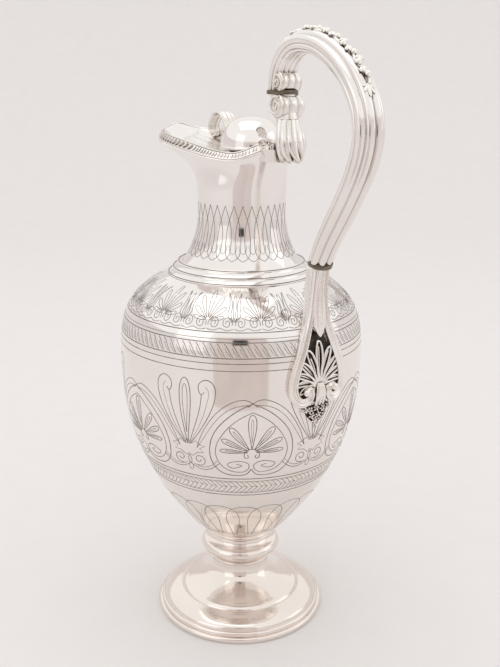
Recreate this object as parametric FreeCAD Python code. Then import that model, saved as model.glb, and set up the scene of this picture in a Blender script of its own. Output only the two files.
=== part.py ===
"""Silver water pitcher (ewer) with a hinged domed lid and a high looped handle.

Millimetres. The origin is the centre of the foot's resting face, +Z is up, +X points to the
spout and the handle stands on the -X side, so the XZ plane is the plane of symmetry.
"""
import FreeCAD
import Part

import math
import os

from FreeCAD import Vector

# ---- driving dimensions -------------------------------------------------------------------
WALL = 1.2               # gauge of the raised silver sheet
# foot's base ring as (radius, height): it rests on the flat between the two lowest corners
RIM_WIRE = [(50.5, 0.0), (52.0, 1.7), (50.5, 3.6)]
RIM_STEP = [(50.5, 3.6), (49.2, 4.6), (46.0, 4.6), (46.0, 0.0), (50.5, 0.0)]
# turned rings: outer radius, middle height, half width, half height, radius of the hole
FOOT_BEAD = (37.2, 13.4, 1.2, 1.2, 33.6)
STEM_COLLAR = (18.7, 34.85, 1.2, 3.35, 12.0)
UPPER_COLLAR = (20.6, 49.05, 1.0, 1.45, 10.0)
# knop: its two outer arcs as (radius, height)
KNOP_ROUND = [(22.6, 38.2), (24.4, 41.0), (22.8, 44.4)]
KNOP_HOLLOW = [(22.8, 44.4), (20.0, 45.6), (18.2, 47.6)]
KNOP_HOLE_R = 10.0
FLOOR_INSET = 0.2        # the body's floor disc is this much smaller than the body's lower edge
NECK_TOP_Z = 262.0
NECK_TOP_R = 25.3

# outer profiles of the raised parts, as (height, radius)
FOOT_PROFILE = [(4.6, 50.0), (7.5, 48.4), (9.6, 44.8), (11.2, 40.4), (12.6, 37.2)]
STEM_PROFILE = [(14.6, 34.6), (15.8, 31.6), (18.0, 26.6), (21.5, 21.2), (26.0, 17.2), (31.5, 16.6)]
BODY_PROFILE = [
    (50.5, 20.6), (58.0, 27.8), (66.0, 34.4), (76.0, 42.1), (88.0, 50.1), (100.0, 56.1),
    (112.0, 61.5), (126.0, 65.9), (140.0, 68.7), (155.0, 70.2), (170.0, 70.5), (184.0, 69.5),
    (194.0, 66.6), (203.0, 60.2), (210.0, 51.4), (214.0, 42.4)]
NECK_PROFILE = [
    (220.0, 34.6), (226.0, 30.5), (232.0, 27.9), (238.0, 26.1), (244.0, 25.1), (250.0, 24.8),
    (256.0, 24.9), (262.0, 25.3)]
SHOULDER_OUTLINE = [
    (214.0, 42.4), (215.6, 40.2), (216.4, 38.6), (217.6, 37.6), (218.4, 36.4), (220.0, 35.8),
    (221.0, 35.4), (221.0, 33.4), (220.0, 33.2), (214.0, 41.0)]

# mouth: the rim's plan is an ellipse drawn in towards the spout's tip
RIM_CENTRE_X = 21.5
RIM_HALF_LENGTH = 53.0
RIM_HALF_WIDTH = 30.0
RIM_POINTING = 0.10
RIM_HEIGHTS = [(0.0, 290.5), (25.0, 287.6), (50.0, 286.0), (90.0, 283.0), (122.0, 279.4),
               (140.0, 278.9), (158.0, 282.4), (168.0, 284.6), (180.0, 285.0)]
LIP_FOOT_LEAN = 0.06     # outward lean of the lip's wall where it leaves the neck
LIP_FOOT_PULL = 0.40     # how far the two ends steer the lip's curve, as shares of its span
LIP_TIP_PULL = 0.34
LIP_STEP = 12            # degrees between the lip's sections
LIP_SLOPES = [(0.0, 24.0), (90.0, 44.0), (135.0, 62.0), (180.0, 76.0)]
SEAT_DEPTH = [(0.0, 5.4), (50.0, 5.6), (90.0, 5.0), (140.0, 3.4), (180.0, 2.6)]
SEAT_RISE = [(0.0, 4.2), (50.0, 4.6), (90.0, 4.6), (140.0, 3.8), (166.0, 4.0), (180.0, 1.5)]
BORDER_HEIGHT = 1.3
BORDER_INSET = 0.25      # the plain lip edge outside the border, as a share of the seat
BORDER_END_SHARE = 0.98
BORDER_ANGLES = range(2, 165, 9)

VOLUTE_CENTRE = Vector(-30.2, 8.4, 288.8)
VOLUTE_R = 2.6
VOLUTE_THICK = 2.4

# lid
DOME_X = -9.2
DOME_R = 17.0
DOME_BASE_Z = 283.7
DOME_TOP_Z = 301.4
DOME_POWER = 2.35
LID_BEAD_R = 17.6
LID_BEAD_HALF = (0.5, 1.0)
LID_BEAD_LAP = 0.4       # how far the wire's hole runs inside the dome's outline, before the cut
DOME_STEPS = 8
DOME_BLOCK_DROP = 5.0
LEAF_OUTLINE = [(-20.0, 12.4), (-12.0, 17.4), (0.0, 21.2), (12.0, 22.9), (24.0, 21.6), (36.0, 15.2),
                (46.0, 0.0)]
LEAF_THICK = 1.4
LEAF_TILT = 5.5
LEAF_Z = 283.2           # the leaf's underside above the axis
FINIAL_HALF_WIDTH = 3.6
FINIAL_HALF_THICK = 1.1
FINIAL_PATH = [(10.2, 284.9), (10.8, 292.0), (13.0, 298.4), (17.4, 302.2), (23.0, 301.8),
               (27.2, 297.8), (28.6, 292.4), (25.8, 289.4), (22.4, 291.0), (23.0, 294.0)]

# hinge
HINGE_X = -32.2
HINGE_Z = 288.2
PIN_R = 1.0
PIN_CLEARANCE = 0.05
PIN_HEAD_R = 1.6
PIN_HEAD_LENGTH = 0.7
KNUCKLE_R = 2.3
TONGUE_REACH = 9.0       # how far the lid's knuckle strap runs forward onto the dome
TONGUE_THICK = 1.5
LID_KNUCKLE_HALF = 1.9
HINGE_HALF = 4.3
KNUCKLE_FOOT_FRONT_X = -31.8
HINGE_GAP = 0.3

# handle: its centre line is given as (distance behind the axis, height)
HANDLE_HALF_WIDTH = 8.8
HANDLE_THICK = 11.8
UPPER_JOINT = (35.9, 314.2)
LOWER_JOINT = (70.0, 230.4)
LOWER_JOINT_TILT = 20.0
INSULATOR_THICK = 2.0
HANDLE_LINE = [
    (35.9, 315.2), (36.5, 322.0), (39.6, 329.7), (45.4, 335.4), (53.2, 338.0), (61.8, 337.8),
    (70.8, 335.4), (79.6, 330.8), (88.2, 324.2), (95.2, 315.8), (100.0, 306.2), (101.6, 296.8),
    (100.4, 287.4), (96.8, 277.6), (91.8, 268.0), (86.3, 259.0), (80.6, 250.0), (75.2, 241.0),
    (70.35, 231.35)]
HANDLE_SCALE = [(0.0, 0.88), (0.45, 1.0), (0.85, 0.90), (1.0, 0.80)]
# one side of the reeded section, as (distance from the middle, depth below the ridge), both
# as fractions of the half width and the thickness
REED_SECTION = [(0.0, 0.06), (0.34, 0.0), (0.62, 0.08), (0.70, 0.17), (0.86, 0.26),
                (0.90, 0.40), (1.0, 0.53), (0.90, 0.66), (0.84, 0.78), (0.56, 0.97), (0.0, 1.0)]

DOWEL_R = 1.2
DOWEL_LENGTH = 12.0
VINE_STATIONS = (2, 10)
VINE_HALF = (1.5, 1.0)   # the vine's stem: half width, half height
VINE_LIFT = 0.5          # how far the stem's middle stands over the handle's ridge
VINE_SWAY = 1.2
BERRY_R = 1.9
BUD_R = 1.7

# upper mount: level oval sections as (distance behind the axis, height, half Y, half X)
SOCKET_ROWS = [(42.0, 301.6, 7.3, 5.7), (42.6, 296.0, 7.5, 5.7), (43.2, 289.0, 7.9, 6.0),
               (43.8, 283.6, 7.8, 5.6), (43.2, 280.2, 6.2, 4.2), (42.8, 278.8, 4.4, 2.6)]
VOLUTE_ROWS = [(41.4, 301.0, 7.2, 5.8), (39.0, 305.6, 7.6, 6.6), (36.5, 310.0, 8.0, 6.9),
               (35.9, 313.8, 8.3, 7.1)]
VOLUTE_ROLL = (42.0, 307.2, 5.4, 7.2)      # distance behind the axis, height, radius, half length
SCROLL_ROLL = (38.4, 319.8, 4.4, 5.6)
COLLAR_HALF = 8.6
COLLAR_X = (-41.0, -28.0)
COLLAR_TOP_Z = 285.5
COLLAR_BASE_Z = 279.0
COLLAR_HOLLOW_R = 28.9   # the saddle's front keeps out of this cylinder about the axis
INSULATOR_HALF = {"upper": (8.6, 7.4), "lower": (7.0, 5.6)}

# lower mount: strap line as (arc across the body, height, radius from the jug's axis)
STRAP_LINE = [
    (3.6, 227.7, 68.4), (3.8, 219.0, 67.6), (4.1, 211.0, 67.4), (4.9, 203.0, 68.0), (7.2, 195.0, 69.2),
    (10.2, 187.0, 70.8), (13.4, 179.0, 71.7), (15.8, 171.5, 72.1), (16.4, 165.0, 72.0),
    (14.8, 159.8, 71.9), (11.2, 157.0, 71.8), (7.5, 158.0, 72.0), (5.8, 161.4, 72.4),
    (7.3, 164.2, 72.9), (9.5, 163.0, 73.4)]
STRAP_HALF_WIDTH = 2.7
STRAP_TOP_HALF_WIDTH = 2.1
STRAP_HALF_THICK = 2.2
STRAP_TOP_HALF_THICK = 4.0
STRAP_BLEND_Z = (190.0, 215.0)             # the strap grows deeper and narrower between these
STRAP_END_FADE = (0.85, 0.7, 0.55)
TONGUE_LINE = [(68.9, 227.9), (67.8, 220.0), (67.6, 211.0), (68.6, 203.0), (70.2, 196.5),
               (71.4, 191.6)]
TONGUE_HALF_WIDTH = [2.8, 3.2, 3.9, 4.5, 3.7, 0.7]
TONGUE_HALF_THICK = [4.7, 4.6, 4.5, 4.0, 2.6, 1.0]
PALMETTE_CENTRE_Z = 162.5
PALMETTE_LENGTH = 25.5
PALMETTE_SIDE_LOBES = 5
LOBE_TURN = 16.5
LOBE_SHRINK = 0.118
LOBE_HALF_WIDTH = 2.2
LOBE_NARROWING = 0.16
# heights over the body's surface between which each relief lies
PLAQUE_RELIEF = (0.0, 0.7)
PALMETTE_RELIEF = (0.7, 2.4)
FLOWER_RELIEF = (0.0, 2.2)
FLOWER_HALF = [(0.0, 154.0), (5.0, 153.6), (8.6, 151.4), (6.0, 147.6), (2.6, 144.4), (0.0, 142.6)]
PRISM_X = (-90.0, -50.0)
HUSK_LINE = [(167.4, 73.2), (164.0, 73.9), (160.0, 74.2), (156.6, 74.1), (154.4, 73.7)]
HUSK_HALF_WIDTH = [0.8, 2.2, 3.1, 3.0, 1.8]
HUSK_HALF_THICK = [0.5, 1.1, 1.5, 1.4, 0.9]
PLAQUE_HALF = [(0.0, 196.0), (2.6, 193.6), (5.2, 190.0), (8.4, 183.0), (11.8, 174.0), (13.2, 166.5),
               (11.0, 160.0), (6.0, 157.0), (0.0, 155.6)]


# ---- helpers ------------------------------------------------------------------------------
def spline(points):
    """An open smooth curve through the points."""
    curve = Part.BSplineCurve()
    curve.interpolate(points)
    return curve.toShape()


def closed_spline(points):
    """A closed smooth wire through the points."""
    curve = Part.BSplineCurve()
    curve.interpolate(points, PeriodicFlag=True)
    return Part.Wire([curve.toShape()])


def polyline(points):
    """Straight edges from point to point."""
    return [Part.LineSegment(a, b).toShape() for a, b in zip(points, points[1:])]


def turned(edges):
    """The solid that a closed outline in the XZ plane sweeps round the Z axis."""
    face = Part.Face(Part.Wire(edges))
    return face.revolve(Vector(0, 0, 0), Vector(0, 0, 1), 360)


def inside_of(profile, wall):
    """The profile moved inwards by the wall, square to its own slope."""
    moved = []
    for i, (z, r) in enumerate(profile):
        z0, r0 = profile[max(i - 1, 0)]
        z1, r1 = profile[min(i + 1, len(profile) - 1)]
        length = math.hypot(z1 - z0, r1 - r0)
        moved.append((z + wall * (r1 - r0) / length, r - wall * (z1 - z0) / length))
    return moved


def raised_shell(profile, wall=WALL):
    """A turned sheet of even gauge whose outside follows the profile."""
    outer = [Vector(r, 0, z) for z, r in profile]
    inner = [Vector(r, 0, z) for z, r in inside_of(profile, wall)]
    edges = [spline(outer), spline(inner)]
    edges += polyline([outer[0], inner[0]]) + polyline([outer[-1], inner[-1]])
    return turned(Part.__sortEdges__(edges))


def arc_through(points):
    """The arc in the XZ plane through three (radius, height) points."""
    a, b, c = [Vector(r, 0, z) for r, z in points]
    return Part.Arc(a, b, c).toShape()


def bead(r, z, half_width, half_height, hole_r):
    """A turned ring with a rounded outside and a straight bore."""
    top = Vector(r - half_width, 0, z + half_height)
    bottom = Vector(r - half_width, 0, z - half_height)
    rim = Part.Arc(bottom, Vector(r, 0, z), top).toShape()
    rest = polyline([top, Vector(hole_r, 0, z + half_height), Vector(hole_r, 0, z - half_height), bottom])
    return turned([rim] + rest)


def interpolate(table, t):
    """The value at t, straight between the rows of the table."""
    for (t0, v0), (t1, v1) in zip(table, table[1:]):
        if t <= t1:
            return v0 + (v1 - v0) * (t - t0) / (t1 - t0)
    return table[-1][1]


def smooth(table, t):
    """The value at t on a curve through the table's rows that is level at both ends."""
    ts = [row[0] for row in table]
    vs = [row[1] for row in table]
    slopes = [0.0]
    for i in range(1, len(table) - 1):
        slopes.append((vs[i + 1] - vs[i - 1]) / (ts[i + 1] - ts[i - 1]))
    slopes.append(0.0)
    i = max(k for k in range(len(table) - 1) if ts[k] <= t or k == 0)
    h = ts[i + 1] - ts[i]
    u = (t - ts[i]) / h
    return (vs[i] * (1 + 2 * u) * (1 - u) ** 2 + slopes[i] * h * u * (1 - u) ** 2
            + vs[i + 1] * u * u * (3 - 2 * u) + slopes[i + 1] * h * u * u * (u - 1))


def oval_section(centre, side, normal, half_side, half_normal):
    """A closed oval wire in the plane of side and normal."""
    count = 12
    points = []
    for k in range(count):
        a = 2 * math.pi * k / count
        points.append(centre + side * (half_side * math.cos(a)) + normal * (half_normal * math.sin(a)))
    return closed_spline(points)


def tangents(points):
    """Unit directions of travel at each point of a line."""
    result = []
    for i in range(len(points)):
        step = points[min(i + 1, len(points) - 1)] - points[max(i - 1, 0)]
        result.append(step.normalize())
    return result


def oval_bar(points, outward, half_sides, half_normals):
    """A bar of oval section along a line; outward gives each section's facing direction."""
    wires = []
    for p, t, n, a, b in zip(points, tangents(points), outward, half_sides, half_normals):
        side = t.cross(n).normalize()
        normal = side.cross(t).normalize()
        wires.append(oval_section(p, side, normal, a, b))
    return Part.makeLoft(wires, True, False)


def ball(centre, radius):
    """A sphere."""
    return Part.makeSphere(radius, centre)


def mirrored(shape):
    """The same piece on the other side of the plane of symmetry."""
    return shape.mirror(Vector(0, 0, 0), Vector(0, 1, 0))


# ---- foot, stem and knop ------------------------------------------------------------------
def foot_rim():
    rest = polyline([Vector(r, 0, z) for r, z in RIM_STEP])
    return turned([arc_through(RIM_WIRE)] + rest)


def foot_dome(rim):
    return raised_shell(FOOT_PROFILE).cut(rim)


def foot_bead(dome, stem):
    """The wire that covers the seam between the foot's dome and the stem."""
    return bead(*FOOT_BEAD).cut(dome).cut(stem)


def foot_stem():
    return raised_shell(STEM_PROFILE)


def stem_collar():
    return bead(*STEM_COLLAR)


def knop():
    base_r, base_z = KNOP_ROUND[0]
    top_r, top_z = KNOP_HOLLOW[-1]
    edges = [arc_through(KNOP_ROUND), arc_through(KNOP_HOLLOW)]
    edges += polyline([Vector(top_r, 0, top_z), Vector(KNOP_HOLE_R, 0, top_z),
                       Vector(KNOP_HOLE_R, 0, base_z), Vector(base_r, 0, base_z)])
    return turned(edges)


def upper_collar():
    return bead(*UPPER_COLLAR)


# ---- body and neck ------------------------------------------------------------------------
def body_shell():
    """The raised body, with the disc that closes its bottom."""
    z, r = BODY_PROFILE[0]
    floor = Part.makeCylinder(r - FLOOR_INSET, WALL, Vector(0, 0, z))
    return raised_shell(BODY_PROFILE).fuse(floor).removeSplitter()


def shoulder_collar(neck):
    """The stepped moulding that covers the seam between body and neck."""
    points = [Vector(r, 0, z) for z, r in SHOULDER_OUTLINE]
    return turned(polyline(points + points[:1])).cut(neck)


def neck_shell():
    return raised_shell(NECK_PROFILE)


# ---- mouth --------------------------------------------------------------------------------
def fold_angle(phi):
    """The angle from the spout, the same on both sides."""
    turn = phi % 360.0
    return 360.0 - turn if turn > 180.0 else turn


def rim_point(phi):
    """Plan position and height of the rim's outer edge at an angle round its ellipse."""
    c = math.cos(math.radians(phi))
    s = math.sin(math.radians(phi))
    x = RIM_CENTRE_X + RIM_HALF_LENGTH * c
    y = RIM_HALF_WIDTH * s * (1.0 - RIM_POINTING * max(0.0, c))
    return Vector(x, y, smooth(RIM_HEIGHTS, fold_angle(phi)))


def rim_seat(phi):
    """The rim's outer edge, its crest above and inside it, and the way out square to the seat."""
    outer = rim_point(phi)
    radial = Vector(outer.x, outer.y, 0).normalize()
    depth = interpolate(SEAT_DEPTH, fold_angle(phi))
    rise = interpolate(SEAT_RISE, fold_angle(phi))
    crest = outer - radial * depth + Vector(0, 0, rise)
    out = (radial * rise + Vector(0, 0, depth)).normalize()
    return outer, crest, out


def lip_section(phi):
    """The lip's wall in the upright plane through the axis and one point of the rim."""
    outer_edge, crest, _ = rim_seat(phi)
    radial = Vector(outer_edge.x, outer_edge.y, 0).normalize()
    reach = math.hypot(outer_edge.x, outer_edge.y)
    slope = math.radians(interpolate(LIP_SLOPES, phi))
    end = Vector(math.cos(slope), 0, math.sin(slope))
    span = math.hypot(reach - NECK_TOP_R, outer_edge.z - NECK_TOP_Z)
    foot = Vector(NECK_TOP_R, 0, NECK_TOP_Z)
    rise = Vector(LIP_FOOT_LEAN, 0, 1.0) * (LIP_FOOT_PULL * span)
    tip = Vector(reach, 0, outer_edge.z)
    top = Vector(math.hypot(crest.x, crest.y), 0, crest.z)
    wall = Vector(WALL, 0, 0)
    pull = end * (LIP_TIP_PULL * span)
    outer = [foot, foot + rise, tip - pull, tip]
    inner = [foot - wall, foot - wall + rise, top - pull, top]
    edges = []
    for poles in (outer, [tip, top], inner[::-1], [inner[0], foot]):
        curve = Part.BezierCurve()
        curve.setPoles([radial * p.x + Vector(0, 0, p.z) for p in poles])
        edges.append(curve.toShape())
    return Part.Wire(edges)


def mouth_lip():
    """The everted lip that carries on from the neck and draws out into the spout."""
    half = Part.makeLoft([lip_section(phi) for phi in range(0, 181, LIP_STEP)], True, False)
    return half.fuse(mirrored(half)).removeSplitter()


def rim_border(lip):
    """One side's cast border strip, on the rim's seat from the spout's tip to the back."""
    wires = []
    for phi in BORDER_ANGLES:
        outer, crest, out = rim_seat(phi)
        across = crest - outer
        low = outer + across * BORDER_INSET
        high = outer + across * BORDER_END_SHARE
        points = [low, high, high + out * (BORDER_HEIGHT * 0.7), low + across * 0.45 + out * BORDER_HEIGHT,
                  low + out * (BORDER_HEIGHT * 0.5)]
        wires.append(Part.Wire(polyline(points + points[:1])))
    return Part.makeLoft(wires, True, False).cut(lip)


def border_volute():
    """The small scroll that ends the border beside the hinge."""
    radial = Vector(VOLUTE_CENTRE.x, VOLUTE_CENTRE.y, 0).normalize()
    return Part.makeCylinder(VOLUTE_R, VOLUTE_THICK, VOLUTE_CENTRE - radial * (VOLUTE_THICK / 2), radial)


# ---- lid ----------------------------------------------------------------------------------
def dome_profile(radius, height):
    """Points of the dome's outline from its edge to its crown."""
    points = []
    for k in range(DOME_STEPS + 1):
        a = math.pi / 2 * k / DOME_STEPS
        r = radius * math.cos(a) ** (2 / DOME_POWER)
        z = height * math.sin(a) ** (2 / DOME_POWER)
        points.append(Vector(r, 0, z))
    return points


def lid_dome():
    height = DOME_TOP_Z - DOME_BASE_Z
    outer = dome_profile(DOME_R, height)
    inner = dome_profile(DOME_R - WALL, height - WALL)
    edges = [spline(outer), spline(inner)]
    edges += polyline([outer[0], inner[0]]) + polyline([outer[-1], inner[-1]])
    dome = turned(Part.__sortEdges__(edges))
    dome.translate(Vector(DOME_X, 0, DOME_BASE_Z))
    return dome


def lid_bead(dome):
    """The wire round the dome's foot."""
    half_width, half_height = LID_BEAD_HALF
    middle = DOME_BASE_Z + half_height + 0.1
    ring = bead(LID_BEAD_R, middle, half_width, half_height, DOME_R - LID_BEAD_LAP)
    return ring.translated(Vector(DOME_X, 0, 0)).cut(dome)


def dome_block(radius, height):
    """An upright cylinder about the dome's own axis, used to trim what meets the dome."""
    return Part.makeCylinder(radius, height, Vector(DOME_X, 0, DOME_BASE_Z - DOME_BLOCK_DROP))


def lid_leaf():
    """The leaf-shaped plate that carries the lid forward over the spout."""
    upper = [Vector(x, y, 0) for x, y in LEAF_OUTLINE]
    lower = [Vector(x, -y, 0) for x, y in LEAF_OUTLINE]
    edges = [spline(upper), spline(lower)] + polyline([upper[0], lower[0]])
    outline = Part.Wire(Part.__sortEdges__(edges))
    plate = Part.Face(outline).extrude(Vector(0, 0, LEAF_THICK))
    plate.rotate(Vector(0, 0, 0), Vector(0, 1, 0), -LEAF_TILT)
    plate.translate(Vector(0, 0, LEAF_Z))
    return plate.cut(dome_block(LID_BEAD_R, 20.0))


def finial_loop(leaf, dome, wire):
    """The scrolled loop that lifts the lid."""
    points = [Vector(x, 0, z) for x, z in FINIAL_PATH]
    across = [Vector(0, 1, 0).cross(t) for t in tangents(points)]
    count = len(points)
    sides = [FINIAL_HALF_WIDTH] * count
    thick = [FINIAL_HALF_THICK] * count
    loop = oval_bar(points, across, sides, thick).cut(leaf).cut(dome).cut(wire)
    return max(loop.Solids, key=lambda solid: solid.Volume)


# ---- hinge --------------------------------------------------------------------------------
def barrel(y0, y1, radius, bore):
    """A knuckle about the hinge's axis between two stations."""
    start = Vector(HINGE_X, y0, HINGE_Z)
    outer = Part.makeCylinder(radius, y1 - y0, start, Vector(0, 1, 0))
    return outer.cut(Part.makeCylinder(bore, y1 - y0, start, Vector(0, 1, 0)))


def lid_knuckle():
    """The lid's middle knuckle, with the tongue that joins it to the dome."""
    tongue = Part.makeBox(TONGUE_REACH, 2 * LID_KNUCKLE_HALF, TONGUE_THICK,
                          Vector(HINGE_X, -LID_KNUCKLE_HALF, HINGE_Z + KNUCKLE_R - TONGUE_THICK))
    dome = dome_profile(DOME_R, DOME_TOP_Z - DOME_BASE_Z)
    axis = [dome[-1], Vector(0, 0, 0), dome[0]]
    solid_dome = turned([spline(dome)] + polyline(axis))
    solid_dome.translate(Vector(DOME_X, 0, DOME_BASE_Z))
    trimmed = tongue.cut(solid_dome)
    bore = Part.makeCylinder(PIN_R + PIN_CLEARANCE, 2 * HINGE_HALF,
                             Vector(HINGE_X, -HINGE_HALF, HINGE_Z), Vector(0, 1, 0))
    knuckle = barrel(-LID_KNUCKLE_HALF, LID_KNUCKLE_HALF, KNUCKLE_R, PIN_R + PIN_CLEARANCE)
    return knuckle.fuse(trimmed.cut(bore)).removeSplitter()


def hinge_knuckles():
    """The pair of fixed knuckles, each on its own foot."""
    pair = []
    inner_end = LID_KNUCKLE_HALF + HINGE_GAP
    back_x = HINGE_X - KNUCKLE_R
    foot = Part.makeBox(KNUCKLE_FOOT_FRONT_X - back_x, HINGE_HALF - inner_end, HINGE_Z - COLLAR_TOP_Z,
                        Vector(back_x, inner_end, COLLAR_TOP_Z))
    bore = Part.makeCylinder(PIN_R, 2 * HINGE_HALF, Vector(HINGE_X, -HINGE_HALF, HINGE_Z), Vector(0, 1, 0))
    one = barrel(inner_end, HINGE_HALF, KNUCKLE_R, PIN_R).fuse(foot.cut(bore)).removeSplitter()
    pair.append(one)
    pair.append(mirrored(one))
    return Part.makeCompound(pair)


def hinge_pin():
    """The pin, with a low head outside each fixed knuckle."""
    pin = Part.makeCylinder(PIN_R, 2 * HINGE_HALF, Vector(HINGE_X, -HINGE_HALF, HINGE_Z), Vector(0, 1, 0))
    for side in (-1, 1):
        end = Vector(HINGE_X, side * HINGE_HALF, HINGE_Z)
        pin = pin.fuse(Part.makeCylinder(PIN_HEAD_R, PIN_HEAD_LENGTH, end, Vector(0, side, 0)))
    return pin.removeSplitter()


# ---- upper mount --------------------------------------------------------------------------
def behind(rho, z, y=0.0):
    """A point at a distance behind the jug's axis."""
    return Vector(-rho, y, z)


def oval_column(rows):
    """A column of level oval sections: (distance behind the axis, height, half Y, half X)."""
    wires = []
    for rho, z, half_y, half_x in rows:
        wires.append(oval_section(behind(rho, z), Vector(0, 1, 0), Vector(1, 0, 0), half_y, half_x))
    return Part.makeLoft(wires, True, False)


def cross_roll(row):
    """A short cylinder across the jug."""
    rho, z, radius, half = row
    return Part.makeCylinder(radius, 2 * half, behind(rho, z, -half), Vector(0, 1, 0))


def handle_socket():
    """The fluted socket behind the mouth that holds the handle's upper end."""
    return oval_column(SOCKET_ROWS)


def back_collar(lip, socket, borders):
    """The saddle that joins the lip's back to the socket and carries the hinge."""
    back, front = COLLAR_X
    saddle = Part.makeBox(front - back, 2 * COLLAR_HALF, COLLAR_TOP_Z - COLLAR_BASE_Z,
                          Vector(back, -COLLAR_HALF, COLLAR_BASE_Z))
    neck = Part.makeCylinder(COLLAR_HOLLOW_R, COLLAR_TOP_Z - NECK_TOP_Z, Vector(0, 0, NECK_TOP_Z))
    return saddle.cut(lip).cut(neck).cut(socket).cut(borders[0]).cut(borders[1])


def upper_volute():
    """The scrolled block between the socket and the insulator."""
    column = oval_column(VOLUTE_ROWS)
    block = column.fuse(cross_roll(VOLUTE_ROLL))
    size = 8 * VOLUTE_ROLL[2]
    low = SOCKET_ROWS[0][1]
    high = UPPER_JOINT[1] - INSULATOR_THICK / 2
    keep = Part.makeBox(size, size, high - low, behind(VOLUTE_ROLL[0] + size / 2, low, -size / 2))
    return block.common(keep).removeSplitter()


def joint_direction():
    """The handle's direction of travel where it passes the lower joint."""
    tilt = math.radians(LOWER_JOINT_TILT)
    return Vector(math.sin(tilt), 0, -math.cos(tilt))


def insulator(centre, direction, half_y, half_x):
    """A thin oval disc square to the handle."""
    across = Vector(0, 1, 0)
    normal = direction.cross(across).normalize()
    wire = oval_section(centre - direction * (INSULATOR_THICK / 2), across, normal, half_y, half_x)
    return Part.Face(wire).extrude(direction * INSULATOR_THICK)


def dowel(centre, direction):
    """The rod inside a joint that holds both sides and the disc between them in line."""
    half = DOWEL_LENGTH / 2
    return Part.makeCylinder(DOWEL_R, DOWEL_LENGTH, centre - direction * half, direction)


# ---- handle -------------------------------------------------------------------------------
def handle_stations():
    """Points, travel directions and outward directions along the handle."""
    points = [behind(rho, z) for rho, z in HANDLE_LINE]
    travel = tangents(points)
    travel[0] = Vector(0, 0, 1)
    travel[-1] = joint_direction()
    outward = [Vector(0, 1, 0).cross(t) for t in travel]
    return points, outward


def reeded_section(centre, outward, scale):
    """The handle's clustered section: a double outer ridge with thinner reeds at its sides."""
    half_width = HANDLE_HALF_WIDTH * scale
    thick = HANDLE_THICK * scale
    one_side = [(y * half_width, (0.5 - d) * thick) for y, d in REED_SECTION]
    other_side = [(-y, n) for y, n in one_side[-2:0:-1]]
    points = [centre + Vector(0, y, 0) + outward * n for y, n in one_side + other_side]
    return closed_spline(points)


def handle_loop():
    points, outward = handle_stations()
    wires = []
    for i, (p, n) in enumerate(zip(points, outward)):
        scale = interpolate(HANDLE_SCALE, i / (len(points) - 1))
        wires.append(reeded_section(p, n, scale))
    return Part.makeLoft(wires, True, False)


def handle_scroll(handle):
    """The scroll on the inner side of the handle just above its upper joint."""
    return cross_roll(SCROLL_ROLL).cut(handle)


def handle_vine(handle):
    """The applied vine along the top of the arch: a stem with berries and leaf buds."""
    points, outward = handle_stations()
    first, last = VINE_STATIONS
    line = []
    for i in range(first, last + 1):
        half = HANDLE_THICK / 2 * interpolate(HANDLE_SCALE, i / (len(points) - 1))
        line.append(points[i] + outward[i] * (half + VINE_LIFT))
    count = len(line)
    half_side, half_normal = VINE_HALF
    sway = Vector(0, VINE_SWAY, 0)
    vine = oval_bar(line, outward[first:last + 1], [half_side] * count, [half_normal] * count)
    for i, p in enumerate(line[:-1]):
        middle = (p + line[i + 1]) * 0.5
        lift = outward[first + i] * VINE_LIFT
        vine = vine.fuse(ball(p + lift + sway, BERRY_R))
        vine = vine.fuse(ball(middle + lift - sway, BUD_R))
    return vine.cut(handle)


# ---- lower mount --------------------------------------------------------------------------
def on_body(arc, z, radius):
    """A point over the body behind the jug: arc across, height and radius from the axis."""
    a = arc / radius
    return Vector(-radius * math.cos(a), radius * math.sin(a), z)


def solid_body(extra=0.0):
    """The body as a full solid, grown by a little, used to trim what lies on it."""
    profile = inside_of(BODY_PROFILE, -extra) if extra else BODY_PROFILE
    outer = [Vector(r, 0, z) for z, r in profile]
    ends = [outer[-1], Vector(0, 0, outer[-1].z), Vector(0, 0, outer[0].z), outer[0]]
    return turned([spline(outer)] + polyline(ends))


def lower_strap(body, tongue):
    """One reeded strap that runs down beside the palmette and curls into a volute."""
    points = [on_body(*row) for row in STRAP_LINE]
    outward = [Vector(p.x, p.y, 0).normalize() for p in points]
    blend_start, blend_end = STRAP_BLEND_Z
    widths = []
    thicks = []
    for _, z, _ in STRAP_LINE:
        share = min(max((z - blend_start) / (blend_end - blend_start), 0.0), 1.0)
        widths.append(STRAP_HALF_WIDTH + (STRAP_TOP_HALF_WIDTH - STRAP_HALF_WIDTH) * share)
        thicks.append(STRAP_HALF_THICK + (STRAP_TOP_HALF_THICK - STRAP_HALF_THICK) * share)
    for k, fade in enumerate(STRAP_END_FADE):
        widths[k - len(STRAP_END_FADE)] *= fade
    return oval_bar(points, outward, widths, thicks).cut(body).cut(tongue)


def handle_tongue(body):
    """The fluted tongue between the straps, running out to a point."""
    points = [behind(rho, z) for rho, z in TONGUE_LINE]
    travel = tangents(points)
    outward = [Vector(0, 1, 0).cross(t) for t in travel]
    tongue = oval_bar(points, outward, TONGUE_HALF_WIDTH, TONGUE_HALF_THICK)
    return tongue.cut(body)


def prism(outline):
    """A prism along X over a closed outline given as (across, height)."""
    back, front = PRISM_X
    points = [Vector(back, y, z) for y, z in outline]
    face = Part.Face(closed_spline(points))
    return face.extrude(Vector(front - back, 0, 0))


def relief(block, lifts):
    """The part of a prism that lies between two heights above the body's surface."""
    lift0, lift1 = lifts
    return block.common(solid_body(lift1)).cut(solid_body(lift0))


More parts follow.
